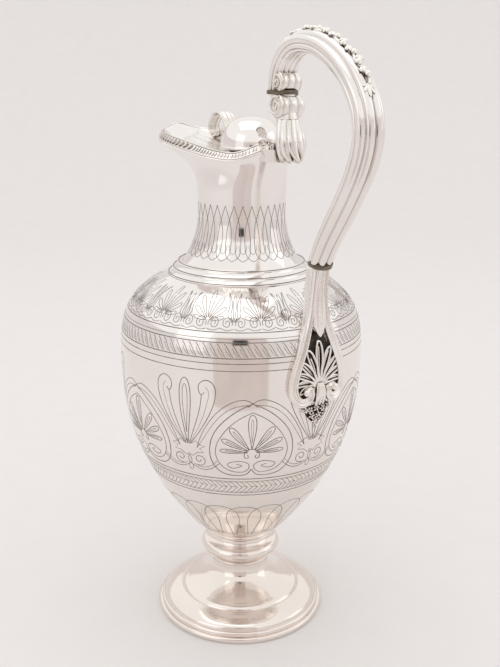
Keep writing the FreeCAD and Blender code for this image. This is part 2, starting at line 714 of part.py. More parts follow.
def lobe_outline(angle, length, half_width, centre_z):
    """A long oval that starts at the palmette's heart and leans at an angle from upright."""
    outline = []
    for k in range(10):
        a = 2 * math.pi * k / 10
        along = length * (0.5 + 0.5 * math.cos(a))
        across = half_width * math.sin(a) * (0.55 + 0.45 * math.cos(a) ** 2)
        s = math.sin(math.radians(angle))
        c = math.cos(math.radians(angle))
        outline.append((along * s + across * c, centre_z + along * c - across * s))
    return outline


def plaque():
    """The dark ground behind the palmette."""
    outline = PLAQUE_HALF + [(-y, z) for y, z in PLAQUE_HALF[-2:0:-1]]
    return relief(prism(outline), PLAQUE_RELIEF)


def palmette():
    """Eleven lobes that fan out of one heart."""
    lobes = None
    for i in range(-PALMETTE_SIDE_LOBES, PALMETTE_SIDE_LOBES + 1):
        length = PALMETTE_LENGTH * (1.0 - LOBE_SHRINK * abs(i))
        half_width = LOBE_HALF_WIDTH - LOBE_NARROWING * abs(i)
        lobe = prism(lobe_outline(LOBE_TURN * i, length, half_width, PALMETTE_CENTRE_Z))
        lobes = lobe if lobes is None else lobes.fuse(lobe)
    return relief(lobes, PALMETTE_RELIEF)


def husk():
    """The small bell between the two volutes."""
    points = [on_body(0.0, z, r) for z, r in HUSK_LINE]
    outward = [Vector(-1, 0, 0)] * len(points)
    return oval_bar(points, outward, HUSK_HALF_WIDTH, HUSK_HALF_THICK)


def flower_cluster():
    """The spray of small leaves that ends the mount below the volutes."""
    outline = FLOWER_HALF + [(-y, z) for y, z in FLOWER_HALF[-2:0:-1]]
    return relief(prism(outline), FLOWER_RELIEF)


# ---- the whole pitcher --------------------------------------------------------------------
def build():
    """Every node by name."""
    nodes = {}
    for make in (foot_rim, foot_stem, stem_collar, knop, upper_collar, body_shell, neck_shell,
                 mouth_lip, lid_dome, lid_leaf, lid_knuckle, hinge_knuckles, hinge_pin,
                 handle_socket, upper_volute, handle_loop, husk):
        nodes[make.__name__] = make()
    nodes["foot_dome"] = foot_dome(nodes["foot_rim"])
    nodes["foot_bead"] = foot_bead(nodes["foot_dome"], nodes["foot_stem"])
    nodes["shoulder_collar"] = shoulder_collar(nodes["neck_shell"])
    nodes["rim_border_left"] = rim_border(nodes["mouth_lip"])
    nodes["rim_border_right"] = mirrored(nodes["rim_border_left"])
    borders = (nodes["rim_border_left"], nodes["rim_border_right"])
    nodes["border_volute_left"] = border_volute().cut(borders[0]).cut(nodes["mouth_lip"])
    nodes["border_volute_right"] = mirrored(nodes["border_volute_left"])
    nodes["back_collar"] = back_collar(nodes["mouth_lip"], nodes["handle_socket"], borders)
    nodes["lid_bead"] = lid_bead(nodes["lid_dome"])
    nodes["finial_loop"] = finial_loop(nodes["lid_leaf"], nodes["lid_dome"], nodes["lid_bead"])
    nodes["handle_scroll"] = handle_scroll(nodes["handle_loop"])
    nodes["handle_vine"] = handle_vine(nodes["handle_loop"])

    body = solid_body()
    nodes["handle_tongue"] = handle_tongue(body)
    strap = lower_strap(body, nodes["handle_tongue"])
    straps = strap.fuse(mirrored(strap))
    nodes["lower_strap_left"] = strap
    nodes["lower_strap_right"] = mirrored(strap)
    nodes["plaque"] = plaque().cut(straps)
    nodes["palmette"] = palmette().cut(straps).cut(nodes["husk"])
    nodes["flower_cluster"] = flower_cluster().cut(straps).cut(nodes["husk"])

    upper = behind(*UPPER_JOINT)
    lower = behind(*LOWER_JOINT)
    up = Vector(0, 0, 1)
    nodes["upper_insulator"] = insulator(upper, up, *INSULATOR_HALF["upper"])
    nodes["lower_insulator"] = insulator(lower, joint_direction(), *INSULATOR_HALF["lower"])
    rods = {"upper": dowel(upper, up), "lower": dowel(lower, joint_direction())}
    pairs = {"upper": ("upper_volute", "upper_insulator", "handle_loop"),
             "lower": ("handle_loop", "lower_insulator", "handle_tongue")}
    for place, names in pairs.items():
        for name in names:
            nodes[name] = nodes[name].cut(rods[place])
        nodes[place + "_dowel"] = rods[place]
    return nodes


def main():
    os.makedirs("parts", exist_ok=True)
    for name, shape in build().items():
        shape.exportStep("parts/" + name + ".step")


main()
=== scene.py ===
"""Looks of the silver water pitcher: turned and cast pieces, ornament, materials and studio.

Lengths of pieces are in millimetres until a mesh is made, which scales them to metres. Materials
and the studio are in metres. The frame is the CAD's: origin at the centre of the foot's resting
face, +Z up, +X to the spout.
"""

import random
from math import copysign, cos, exp, hypot, pi, radians, sin, sqrt

import bpy
import numpy as np
from mathutils import Matrix, Vector


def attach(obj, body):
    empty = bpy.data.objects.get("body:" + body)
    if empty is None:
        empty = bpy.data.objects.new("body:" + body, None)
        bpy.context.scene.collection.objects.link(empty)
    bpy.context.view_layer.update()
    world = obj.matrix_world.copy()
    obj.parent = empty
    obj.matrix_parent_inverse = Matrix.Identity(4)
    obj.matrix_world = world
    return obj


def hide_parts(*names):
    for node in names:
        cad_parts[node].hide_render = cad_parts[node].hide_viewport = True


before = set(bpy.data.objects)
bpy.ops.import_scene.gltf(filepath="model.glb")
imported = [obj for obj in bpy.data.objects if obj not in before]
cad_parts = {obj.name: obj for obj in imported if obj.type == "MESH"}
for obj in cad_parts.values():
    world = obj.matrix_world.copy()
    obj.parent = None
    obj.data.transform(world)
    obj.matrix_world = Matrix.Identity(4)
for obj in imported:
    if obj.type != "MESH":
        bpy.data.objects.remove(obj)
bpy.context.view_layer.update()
random.seed(7)

MM = 0.001
WALL = 1.2
TAU = 2 * pi
ARC_STEPS = 10
CURL_ROWS = 49
UP = Vector((0, 0, 1))
ACROSS = Vector((0, 1, 0))

# ---- shapes shared with the CAD ----
FOOT_PROFILE = [(4.6, 50.0), (7.5, 48.4), (9.6, 44.8), (11.2, 40.4), (12.6, 37.2)]
STEM_PROFILE = [(14.6, 34.6), (15.8, 31.6), (18.0, 26.6), (21.5, 21.2), (26.0, 17.2), (31.5, 16.6)]
BODY_PROFILE = [
    (50.5, 20.6), (58.0, 27.8), (66.0, 34.4), (76.0, 42.1), (88.0, 50.1), (100.0, 56.1),
    (112.0, 61.5), (126.0, 65.9), (140.0, 68.7), (155.0, 70.2), (170.0, 70.5), (184.0, 69.5),
    (194.0, 66.6), (203.0, 60.2), (210.0, 51.4), (214.0, 42.4)]
NECK_PROFILE = [
    (220.0, 34.6), (226.0, 30.5), (232.0, 27.9), (238.0, 26.1), (244.0, 25.1), (250.0, 24.8),
    (256.0, 24.9), (262.0, 25.3)]
NECK_TOP_Z = 262.0
NECK_TOP_R = 25.3

RIM_CENTRE_X = 21.5
RIM_HALF_LENGTH = 53.0
RIM_HALF_WIDTH = 30.0
RIM_POINTING = 0.10
RIM_HEIGHTS = [(0.0, 290.5), (25.0, 287.6), (50.0, 286.0), (90.0, 283.0), (122.0, 279.4),
               (140.0, 278.9), (158.0, 282.4), (168.0, 284.6), (180.0, 285.0)]
LIP_SLOPES = [(0.0, 24.0), (90.0, 44.0), (135.0, 62.0), (180.0, 76.0)]
SEAT_DEPTH = [(0.0, 5.4), (50.0, 5.6), (90.0, 5.0), (140.0, 3.4), (180.0, 2.6)]
SEAT_RISE = [(0.0, 4.2), (50.0, 4.6), (90.0, 4.6), (140.0, 3.8), (166.0, 4.0), (180.0, 1.5)]

# the mouth border: degrees round the rim's ellipse, and millimetres along it
BORDER_START = 2.0
BORDER_SWEEP = 162.0
CUP_SHARE = 0.62
CUP_HALF = 1.2
CUP_PITCH = 4.1
BEAD_PITCH = 2.0

DOME_X = -9.2
DOME_R = 17.0
DOME_BASE_Z = 283.7
DOME_TOP_Z = 301.4
DOME_POWER = 2.35
LEAF_OUTLINE = [(-20.0, 12.4), (-12.0, 17.4), (0.0, 21.2), (12.0, 22.9), (24.0, 21.6), (36.0, 15.2),
                (46.0, 0.0)]
LEAF_Z = 283.2
PLATE_THICK = 1.45
LEAF_TILT = radians(5.5)
FINIAL_PATH = [(10.2, 284.9), (10.8, 292.0), (13.0, 298.4), (17.4, 302.2), (23.0, 301.8),
               (27.2, 297.8), (28.6, 292.4), (25.8, 289.4), (22.4, 291.0), (23.0, 294.0)]

HANDLE_LINE = [
    (35.9, 315.2), (36.5, 322.0), (39.6, 329.7), (45.4, 335.4), (53.2, 338.0), (61.8, 337.8),
    (70.8, 335.4), (79.6, 330.8), (88.2, 324.2), (95.2, 315.8), (100.0, 306.2), (101.6, 296.8),
    (100.4, 287.4), (96.8, 277.6), (91.8, 268.0), (86.3, 259.0), (80.6, 250.0), (75.2, 241.0),
    (70.35, 231.35)]
HANDLE_SCALE = [(0.0, 0.88), (0.45, 1.0), (0.85, 0.90), (1.0, 0.80)]
HANDLE_THICK = 11.8
HANDLE_SLIM = [(0.0, 0.80), (0.10, 0.90), (0.22, 1.0)]
HANDLE_ROWS = 170
JOINT_TILT = radians(20.0)

STRAP_LINE = [
    (3.6, 227.7, 68.4), (3.8, 219.0, 67.6), (4.1, 211.0, 67.4), (4.9, 203.0, 68.0), (7.2, 195.0, 69.2),
    (10.2, 187.0, 70.8), (13.4, 179.0, 71.7), (15.8, 171.5, 72.1), (16.4, 165.0, 72.0),
    (14.8, 159.8, 71.9), (11.2, 157.0, 71.8), (7.5, 158.0, 72.0), (5.8, 161.4, 72.4),
    (7.3, 164.2, 72.9), (9.5, 163.0, 73.4)]
PALMETTE_Z = 163.0
LOBE_LENGTH = 25.6
LOBE_LEAN = 15.5
TONGUE_LINE = [(68.9, 227.9), (67.8, 220.0), (67.6, 211.0), (68.6, 203.0), (70.2, 196.5),
               (71.4, 191.6)]


# ---- helpers ----
def curve_through(points, count):
    """Evenly spaced points on a natural cubic spline through the given ones."""
    pts = np.array([list(p) for p in points], float)
    gaps = np.linalg.norm(np.diff(pts, axis=0), axis=1)
    t = np.concatenate([[0.0], np.cumsum(gaps)])
    n = len(pts)
    system = np.zeros((n, n))
    rhs = np.zeros((n, pts.shape[1]))
    system[0, 0] = system[-1, -1] = 1.0
    for i in range(1, n - 1):
        h0, h1 = gaps[i - 1], gaps[i]
        system[i, i - 1:i + 2] = [h0, 2 * (h0 + h1), h1]
        rhs[i] = 6 * ((pts[i + 1] - pts[i]) / h1 - (pts[i] - pts[i - 1]) / h0)
    bend = np.linalg.solve(system, rhs)
    result = []
    for s in np.linspace(0.0, t[-1], count):
        i = min(max(int(np.searchsorted(t, s)) - 1, 0), n - 2)
        h = gaps[i]
        a = (t[i + 1] - s) / h
        b = (s - t[i]) / h
        result.append(a * pts[i] + b * pts[i + 1]
                      + ((a ** 3 - a) * bend[i] + (b ** 3 - b) * bend[i + 1]) * h * h / 6)
    return result


def smooth_line(points, count=26):
    """The same curve as plain tuples."""
    return [tuple(p) for p in curve_through(points, count)]


def straight(table, t):
    """The table's value at t, straight between its rows."""
    return float(np.interp(t, [row[0] for row in table], [row[1] for row in table]))


def level_curve(table, t):
    """The value at t on a smooth curve through the rows that is level at both ends."""
    ts = [row[0] for row in table]
    vs = [row[1] for row in table]
    i = min(max(int(np.searchsorted(ts, t)) - 1, 0), len(ts) - 2)
    slopes = [0.0] + [(vs[k + 1] - vs[k - 1]) / (ts[k + 1] - ts[k - 1])
                      for k in range(1, len(ts) - 1)] + [0.0]
    h = ts[i + 1] - ts[i]
    u = (t - ts[i]) / h
    return (vs[i] * (1 + 2 * u) * (1 - u) ** 2 + slopes[i] * h * u * (1 - u) ** 2
            + vs[i + 1] * u * u * (3 - 2 * u) + slopes[i + 1] * h * u * u * (u - 1))


def around(count):
    """Evenly spaced angles round a full turn, in radians."""
    return [TAU * k / count for k in range(count)]


def steps(points, closed=False):
    """The way from the point before to the point after, at every point of a line."""
    last = len(points) - 1
    result = []
    for i in range(len(points)):
        before = points[i - 1] if closed or i else points[0]
        after = points[(i + 1) % len(points)] if closed or i < last else points[-1]
        result.append(after - before)
    return result


def winding(count, start, turns, radius, shrink):
    """(share, x, y) along a spiral that winds inwards; its start is an angle in degrees."""
    points = []
    for k in range(count):
        t = k / (count - 1)
        a = radians(start) + TAU * turns * t
        r = radius * (1 - shrink * t)
        points.append((t, r * cos(a), r * sin(a)))
    return points


def tapered(radius, loss):
    """The wire's radius along a curl, thinner towards its eye."""
    return [radius - loss * k / (CURL_ROWS - 1) for k in range(CURL_ROWS)]


def into_scene(name, data):
    """A new object in the scene's collection."""
    obj = bpy.data.objects.new(name, data)
    bpy.context.scene.collection.objects.link(obj)
    return obj


class Piece:
    """Collects vertices and faces in millimetres and turns them into one object."""

    def __init__(self):
        self.verts = []
        self.faces = []

    def grid(self, rows, closed_across=False, closed_along=False, caps=False):
        """Adds a sheet of quads over rows of points."""
        start = len(self.verts)
        width = len(rows[0])
        for row in rows:
            self.verts += [tuple(p) for p in row]
        along = len(rows) if closed_along else len(rows) - 1
        across = width if closed_across else width - 1
        for i in range(along):
            a = start + i * width
            b = start + ((i + 1) % len(rows)) * width
            for j in range(across):
                k = (j + 1) % width
                self.faces.append((a + j, a + k, b + k, b + j))
        if caps:
            self.faces.append(tuple(start + j for j in range(width))[::-1])
            last = start + (len(rows) - 1) * width
            self.faces.append(tuple(last + j for j in range(width)))

    def blob(self, centre, axes, rings=6, turns=10):
        """Adds an ellipsoid with the three given half axes."""
        ax, ay, az = axes
        rows = []
        for i in range(rings + 1):
            a = pi * (0.02 + 0.96 * i / rings)
            rows.append([centre + az * cos(a)
                         + (ax * cos(b) + ay * sin(b)) * sin(a) for b in around(turns)])
        self.grid(rows, closed_across=True, caps=True)

    def tube(self, points, radius, normals=None, flat=1.0, turns=8, closed=False):
        """Adds a round or flattened wire along a line; radius may be one value or a list."""
        radii = radius if isinstance(radius, list) else [radius] * len(points)
        rows = []
        for i, (p, step) in enumerate(zip(points, steps(points, closed))):
            travel = step.normalized()
            guide = normals[i] if normals else (UP if abs(travel.z) < 0.9 else ACROSS)
            side = travel.cross(guide).normalized()
            normal = side.cross(travel).normalized()
            rows.append([p + side * (radii[i] * cos(a))
                         + normal * (radii[i] * flat * sin(a)) for a in around(turns)])
        self.grid(rows, closed_across=True, closed_along=closed, caps=not closed)

    def strip(self, points, normals, half_width, closed):
        """Adds a flat ribbon that lies on a surface."""
        rows = []
        for p, normal, step in zip(points, normals, steps(points, closed)):
            side = step.cross(normal).normalized() * half_width
            rows.append([p - side, p + side])
        self.grid(rows, closed_along=closed)

    def build(self, name, material, slot, body="jug", replaces=(), sharp=40.0):
        """Makes the object, in metres, on its body and in place of the named CAD nodes."""
        mesh = bpy.data.meshes.new(name)
        mesh.from_pydata([(x * MM, y * MM, z * MM) for x, y, z in self.verts], [], self.faces)
        mesh.validate()
        mesh.shade_smooth()
        mesh.set_sharp_from_angle(angle=radians(sharp))
        mesh.materials.append(material)
        obj = into_scene(name, mesh)
        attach(obj, body)
        if replaces:
            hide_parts(*replaces)


def inside_of(profile):
    """The profile moved inwards by the wall, square to its own slope."""
    moved = []
    for i, (z, r) in enumerate(profile):
        z0, r0 = profile[max(i - 1, 0)]
        z1, r1 = profile[min(i + 1, len(profile) - 1)]
        length = hypot(z1 - z0, r1 - r0)
        moved.append((z + WALL * (r1 - r0) / length, r - WALL * (z1 - z0) / length))
    return moved


def arc_outline(centre, radius_r, radius_z, start, end):
    """Points (z, r) on an elliptic arc about a centre given as (z, r); angles in degrees."""
    z, r = centre
    points = []
    for k in range(ARC_STEPS + 1):
        a = radians(start + (end - start) * k / ARC_STEPS)
        points.append((z + radius_z * sin(a), r + radius_r * cos(a)))
    return points


def turned(outline, centre_x=0.0, segments=288):
    """A closed outline of (z, r) turned about an upright axis."""
    piece = Piece()
    piece.grid([[(centre_x + r * cos(a), r * sin(a), z) for z, r in outline]
                for a in around(segments)], closed_across=True, closed_along=True)
    return piece


def sheet_outline(profile, count):
    """The closed outline of a raised sheet whose outside follows the profile."""
    return smooth_line(profile, count)[::-1] + smooth_line(inside_of(profile), count // 2)


def polar(angle, radius, z):
    """A point round the jug's axis; the angle is in radians from the spout."""
    return Vector((radius * cos(angle), radius * sin(angle), z))


# ---- materials ----
WHITE = (1.0, 1.0, 1.0)
# painted warm reflection: a warm tint at heights in metres, strongest on the foot
PAINTED_WARM_REFLECTION = [(0.03, (0.965, 0.93, 0.895)), (0.10, (0.98, 0.958, 0.94)), (0.20, WHITE)]


class Surface:
    """One material's nodes, with the usual ways to feed its shader."""

    def __init__(self, name, metallic=0.0):
        self.material = bpy.data.materials.new(name)
        self.material.use_nodes = True
        self.nodes = self.material.node_tree.nodes
        self.link = self.material.node_tree.links.new
        self.inputs = self.nodes["Principled BSDF"].inputs
        self.inputs["Metallic"].default_value = metallic
        self.place = self.nodes.new("ShaderNodeTexCoord").outputs["Object"]

    def noise(self, scale, detail, stretch=None):
        """Noise over the object's own coordinates, in metres."""
        node = self.nodes.new("ShaderNodeTexNoise")
        node.inputs["Scale"].default_value = scale
        node.inputs["Detail"].default_value = detail
        source = self.place
        if stretch:
            mapping = self.nodes.new("ShaderNodeMapping")
            mapping.inputs["Scale"].default_value = stretch
            self.link(source, mapping.inputs["Vector"])
            source = mapping.outputs["Vector"]
        self.link(source, node.inputs["Vector"])
        return node.outputs["Fac"]

    def colours(self, source, stops, *sockets):
        """Runs a value through a ramp of (position, colour) stops and into the named inputs."""
        node = self.nodes.new("ShaderNodeValToRGB")
        elements = node.color_ramp.elements
        for element, (position, colour) in ((elements[0], stops[0]), (elements[1], stops[-1])):
            element.position = position
            element.color = (*colour, 1)
        for position, colour in stops[1:-1]:
            elements.new(position).color = (*colour, 1)
        self.link(source, node.inputs["Fac"])
        for socket in sockets:
            self.link(node.outputs["Color"], self.inputs[socket])
        return node.outputs["Color"]

    def multiplied(self, first, second):
        """The product of two colours."""
        node = self.nodes.new("ShaderNodeMix")
        node.data_type = "RGBA"
        node.blend_type = "MULTIPLY"
        node.inputs["Factor"].default_value = 1.0
        self.link(first, node.inputs["A"])
        self.link(second, node.inputs["B"])
        return node.outputs["Result"]

    def roughness(self, source, low, high):
        node = self.nodes.new("ShaderNodeMapRange")
        node.inputs["To Min"].default_value = low
        node.inputs["To Max"].default_value = high
        self.link(source, node.inputs["Value"])
        self.link(node.outputs["Result"], self.inputs["Roughness"])

    def relief(self, source, strength, depth):
        """Fine bumps, their depth in metres."""
        node = self.nodes.new("ShaderNodeBump")
        node.inputs["Strength"].default_value = strength
        node.inputs["Distance"].default_value = depth
        self.link(source, node.inputs["Height"])
        self.link(node.outputs["Normal"], self.inputs["Normal"])


def silver(name, light, dark, rough=(0.07, 0.13), painted_recess_shade=None, painted_shade_distance=0.002, bump=0.05):
    """Silver with faint tarnish clouds, fine polishing scratches, a painted warm reflection low down and, if
    asked, painted shade that darkens its recesses.
    """
    surface = Surface(name, 1.0)
    clouds = surface.colours(surface.noise(22.0, 5.0), [(0.35, dark), (0.65, light)])
    height = surface.nodes.new("ShaderNodeSeparateXYZ")
    surface.link(surface.place, height.inputs["Vector"])
    # painted warm reflection: the colour grows warmer towards the foot
    colour = surface.multiplied(clouds, surface.colours(height.outputs["Z"], PAINTED_WARM_REFLECTION))
    # painted shade: ambient occlusion darkens the colour in recesses, creases and under parts
    if painted_recess_shade:
        occlusion = surface.nodes.new("ShaderNodeAmbientOcclusion")
        occlusion.samples = 6
        occlusion.inputs["Distance"].default_value = painted_shade_distance
        shade = surface.colours(occlusion.outputs["AO"], [(0.25, painted_recess_shade), (0.80, WHITE)])
        colour = surface.multiplied(colour, shade)
    surface.link(colour, surface.inputs["Base Color"])
    surface.roughness(surface.noise(60.0, 6.0, (1.0, 1.0, 7.0)), *rough)
    surface.relief(surface.noise(45.0, 2.0), bump, 0.0006)
    return surface.material


def dark_ground(name):
    """Oxidised, finely pricked ground behind the ornament."""
    surface = Surface(name, 0.6)
    pits = surface.noise(900.0, 3.0)
    surface.colours(pits, [(0.35, (0.012, 0.009, 0.007)), (0.75, (0.085, 0.066, 0.052))], "Base Color")
    surface.roughness(pits, 0.40, 0.65)
    surface.relief(pits, 0.5, 0.0002)
    return surface.material


def bone(name):
    """The insulating disc: aged bone with an upright grain."""
    surface = Surface(name)
    grain = surface.noise(260.0, 5.0, (1.0, 1.0, 5.0))
    surface.colours(grain, [(0.3, (0.055, 0.040, 0.026)), (0.7, (0.21, 0.165, 0.115))], "Base Color")
    surface.roughness(grain, 0.30, 0.50)
    return surface.material


def graver(name):
    """An engraved line: a dark ribbon of painted shade where the cut would be, uneven in tone."""
    surface = Surface(name, 0.85)
    cut_shade = surface.noise(140.0, 4.0)
    # painted shade of the cut: the ribbon lies flat on the surface and no groove is modelled
    surface.colours(cut_shade, [(0.3, (0.15, 0.130, 0.118)), (0.7, (0.36, 0.325, 0.30))], "Base Color")
    surface.roughness(cut_shade, 0.35, 0.6)
    return surface.material


POLISHED = silver("polished_silver", (0.91, 0.875, 0.86), (0.855, 0.815, 0.79))
# the cast silvers are copies of one material whose recess colours are painted shade, at different strengths
CAST = silver("cast_silver", (0.90, 0.875, 0.85), (0.82, 0.785, 0.75), rough=(0.14, 0.24),
              painted_recess_shade=(0.40, 0.345, 0.30), bump=0.12)
# lighter, lit copies of cast silver with pale painted shade in their recesses
CAST_LIGHT = silver("cast_silver_bright", (0.93, 0.905, 0.885), (0.86, 0.83, 0.80), rough=(0.22, 0.32),
                    painted_recess_shade=(0.74, 0.69, 0.64), painted_shade_distance=0.0010)
VINE_SILVER = silver("vine_silver", (0.95, 0.925, 0.90), (0.90, 0.87, 0.84), rough=(0.38, 0.50),
                     painted_recess_shade=(0.86, 0.82, 0.78), painted_shade_distance=0.0008)
# a darker copy of cast silver whose recesses carry deep painted shade, nearly black
CAST_DEEP_SHADE = silver("cast_silver_deep_shade", (0.90, 0.87, 0.84), (0.80, 0.76, 0.72), rough=(0.15, 0.25),
                   painted_recess_shade=(0.16, 0.125, 0.10), bump=0.12)
HANDLE_SILVER = silver("handle_silver", (0.90, 0.87, 0.85), (0.82, 0.78, 0.75), rough=(0.10, 0.17),
                       painted_recess_shade=(0.34, 0.30, 0.27), painted_shade_distance=0.0022)
GROUND = dark_ground("oxidised_ground")
BONE = bone("aged_bone")
GRAVER = graver("engraved_cut")


# ---- turned pieces ----
def polished_ring(outline, name, node):
    """A turned piece of polished silver in place of one CAD node."""
    turned(outline).build(name, POLISHED, "polished_silver", replaces=[node])


def foot_and_knop():
    """From the foot's wire up to the collar under the body; outlines are (height, radius)."""
    rim = arc_outline((1.8, 50.3), 1.7, 1.8, -90, 90)
    polished_ring(rim + [(3.7, 49.6), (4.6, 49.2), (4.6, 46.0), (0.0, 46.0)], "foot_rim_wire", "foot_rim")
    step = [(4.6, 49.9), (5.3, 49.8), (5.9, 49.2), (6.1, 48.4)]
    crown = [(6.1, 48.4), (7.9, 47.6), (9.9, 45.0), (11.4, 41.4), (12.5, 37.2)]
    dome = step + smooth_line(crown) + smooth_line(inside_of(FOOT_PROFILE), 12)[::-1]
    polished_ring(dome, "foot_dome_raised", "foot_dome")
    seam = [(15.55, 32.6), (14.95, 34.4), (14.35, 35.7), (13.5, 36.6), (12.8, 37.1), (12.2, 37.3)]
    wire = smooth_line(seam, 24) + [(12.2, 34.2), (13.2, 34.2), (15.0, 32.6)]
    polished_ring(wire, "foot_seam_wire", "foot_bead")
    polished_ring(sheet_outline(STEM_PROFILE, 40), "foot_stem_raised", "foot_stem")
    low = ([(31.5, 12.0), (31.5, 17.2)] + arc_outline((32.6, 17.4), 1.0, 1.0, -80, 80)
           + [(33.8, 16.9), (34.3, 16.9)] + arc_outline((36.2, 17.5), 1.5, 1.7, -80, 80)
           + [(38.2, 17.4), (38.2, 12.0)])
    polished_ring(low, "stem_collar_rings", "stem_collar")
    bulge = [(38.2, 21.8), (38.9, 23.3), (40.0, 24.2), (41.2, 24.4), (42.4, 24.1), (43.6, 23.3)]
    hollow = [(44.4, 22.5), (44.7, 21.4), (45.3, 20.2), (46.4, 18.9), (47.6, 18.3)]
    knop = [(38.2, 10.0)] + smooth_line(bulge, 24) + smooth_line(hollow, 14) + [(47.6, 10.0)]
    polished_ring(knop, "knop_turned", "knop")
    high = ([(47.6, 10.0), (47.6, 19.4)] + arc_outline((49.05, 19.6), 1.0, 1.4, -80, 80)
            + [(50.5, 19.8), (50.5, 10.0)])
    polished_ring(high, "upper_collar_wire", "upper_collar")


def body_and_neck():
    """The raised body with its bottom disc, the stepped moulding on the shoulder and the neck."""
    turned(sheet_outline(BODY_PROFILE, 190), segments=360).build(
        "body_raised", POLISHED, "engraved_silver", replaces=["body_shell"])
    floor = Piece()
    floor.grid([[(r * cos(a), r * sin(a), z) for a in around(96)]
                for r, z in ((0.2, 51.7), (20.3, 51.7), (20.3, 50.6), (0.2, 50.6))], closed_across=True)
    floor.build("body_floor", POLISHED, "engraved_silver")
    moulding = [(214.0, 41.2), (214.0, 42.3), (214.6, 42.4), (215.0, 41.9), (216.2, 40.4), (217.3, 39.7),
                (217.7, 39.7), (218.0, 39.1), (218.8, 37.9), (220.1, 36.9), (220.7, 36.8), (221.1, 36.3),
                (221.3, 34.9), (221.2, 33.9), (219.8, 33.6), (216.5, 37.5)]
    polished_ring(moulding, "shoulder_moulding", "shoulder_collar")
    rings = Piece()
    for z, r in ((215.05, 41.95), (218.05, 39.15), (221.15, 36.2)):
        rings.tube([polar(a, r, z) for a in around(180)], 0.22, closed=True, turns=6)
    rings.build("shoulder_cut_lines", GRAVER, "polished_silver")
    turned(sheet_outline(NECK_PROFILE, 70), segments=360).build(
        "neck_raised", POLISHED, "engraved_silver", replaces=["neck_shell"])


# ---- mouth ----
def folded(phi):
    """An angle in degrees from the front, the same on both sides."""
    turn = phi % 360.0
    return 360.0 - turn if turn > 180.0 else turn


def rim_point(phi):
    """The rim's outer edge at an angle in degrees round its ellipse."""
    c = cos(radians(phi))
    s = sin(radians(phi))
    across = RIM_HALF_WIDTH * s * (1.0 - RIM_POINTING * max(0.0, c))
    return Vector((RIM_CENTRE_X + RIM_HALF_LENGTH * c, across, level_curve(RIM_HEIGHTS, folded(phi))))


def rim_seat(phi):
    """Outer edge, crest, and the way out square to the seat between them."""
    outer = rim_point(phi)
    radial = Vector((outer.x, outer.y, 0)).normalized()
    depth = straight(SEAT_DEPTH, folded(phi))
    rise = straight(SEAT_RISE, folded(phi))
    crest = outer - radial * depth + UP * rise
    return outer, crest, (radial * rise + UP * depth).normalized()


def bezier(poles, count):
    """Points on the cubic curve with the four given poles."""
    a, b, c, d = poles
    points = []
    for k in range(count + 1):
        t = k / count
        u = 1 - t
        points.append(a * u ** 3 + b * (3 * t * u ** 2) + c * (3 * t * t * u) + d * t ** 3)
    return points


def lip_section(phi):
    """The lip's closed section: up from the neck and out to the rim, and back on the inside."""
    tip, crest, _ = rim_seat(phi)
    radial = Vector((tip.x, tip.y, 0)).normalized()
    slope = radians(straight(LIP_SLOPES, folded(phi)))
    end = radial * cos(slope) + UP * sin(slope)
    span = hypot(hypot(tip.x, tip.y) - NECK_TOP_R, tip.z - NECK_TOP_Z)
    foot = radial * NECK_TOP_R + UP * NECK_TOP_Z
    inner_foot = foot - radial * WALL
    rise = (radial * 0.06 + UP) * (0.40 * span)
    reach = end * (0.34 * span)
    outer = bezier([foot, foot + rise, tip - reach, tip], 26)
    inner = bezier([inner_foot, inner_foot + rise, crest - reach, crest], 26)
    return outer + [tip + (crest - tip) * 0.02 + end * 0.2] + inner[::-1]


def mouth():
    lip = Piece()
    lip.grid([lip_section(360.0 * k / 240) for k in range(240)], closed_across=True, closed_along=True)
    lip.build("mouth_lip_raised", POLISHED, "polished_silver", replaces=["mouth_lip"])


def border_side(sign, name, replaces):
    """One side's cast border: a wire at each edge, open cups in front, beads towards the hinge."""
    piece = Piece()
    seats = [rim_seat(sign * (BORDER_START + BORDER_SWEEP * k / 240)) for k in range(241)]

    def line(share, lift):
        return [o + (c - o) * share + n * lift for o, c, n in seats]

    outs = [n for _, _, n in seats]
    bed = [line(share, lift) for share, lift in ((0.18, 0.05), (0.20, 0.40), (0.96, 0.40), (0.99, 0.02))]
    piece.grid(list(zip(*bed)))
    piece.tube(line(0.20, 0.40), 0.34, outs)
    piece.tube(line(0.97, 0.45), 0.42, outs)
    lengths = [0.0]
    centres = line(0.5, 0)
    for a, b in zip(centres, centres[1:]):
        lengths.append(lengths[-1] + (b - a).length)
    total = lengths[-1]
    at = 1.6
    while at < total - 1.0:
        outer, crest, out = seats[int(np.searchsorted(lengths, at))]
        across = crest - outer
        width = across.length
        across = across.normalized()
        along = out.cross(across).normalized()
        if at / total < CUP_SHARE:
            middle = outer + across * (width * 0.64) + out * 0.55
            side = along * CUP_HALF
            edge = across * (width * 0.24)
            cup = [middle + side + edge, middle + side]
            for k in range(1, 10):
                a = pi * k / 10
                cup.append(middle + along * (CUP_HALF * cos(a)) - across * (width * 0.26 * sin(a)))
            cup += [middle - side, middle - side + edge]
            piece.tube(cup, 0.42, [out] * len(cup))
            at += CUP_PITCH
        else:
            middle = outer + across * (width * 0.60) + out * 0.55
            piece.blob(middle, (along * 0.72, across * (0.27 * width), out * 0.5), rings=4, turns=8)
            at += BEAD_PITCH
    piece.build(name, CAST, "cast_silver", replaces=replaces)


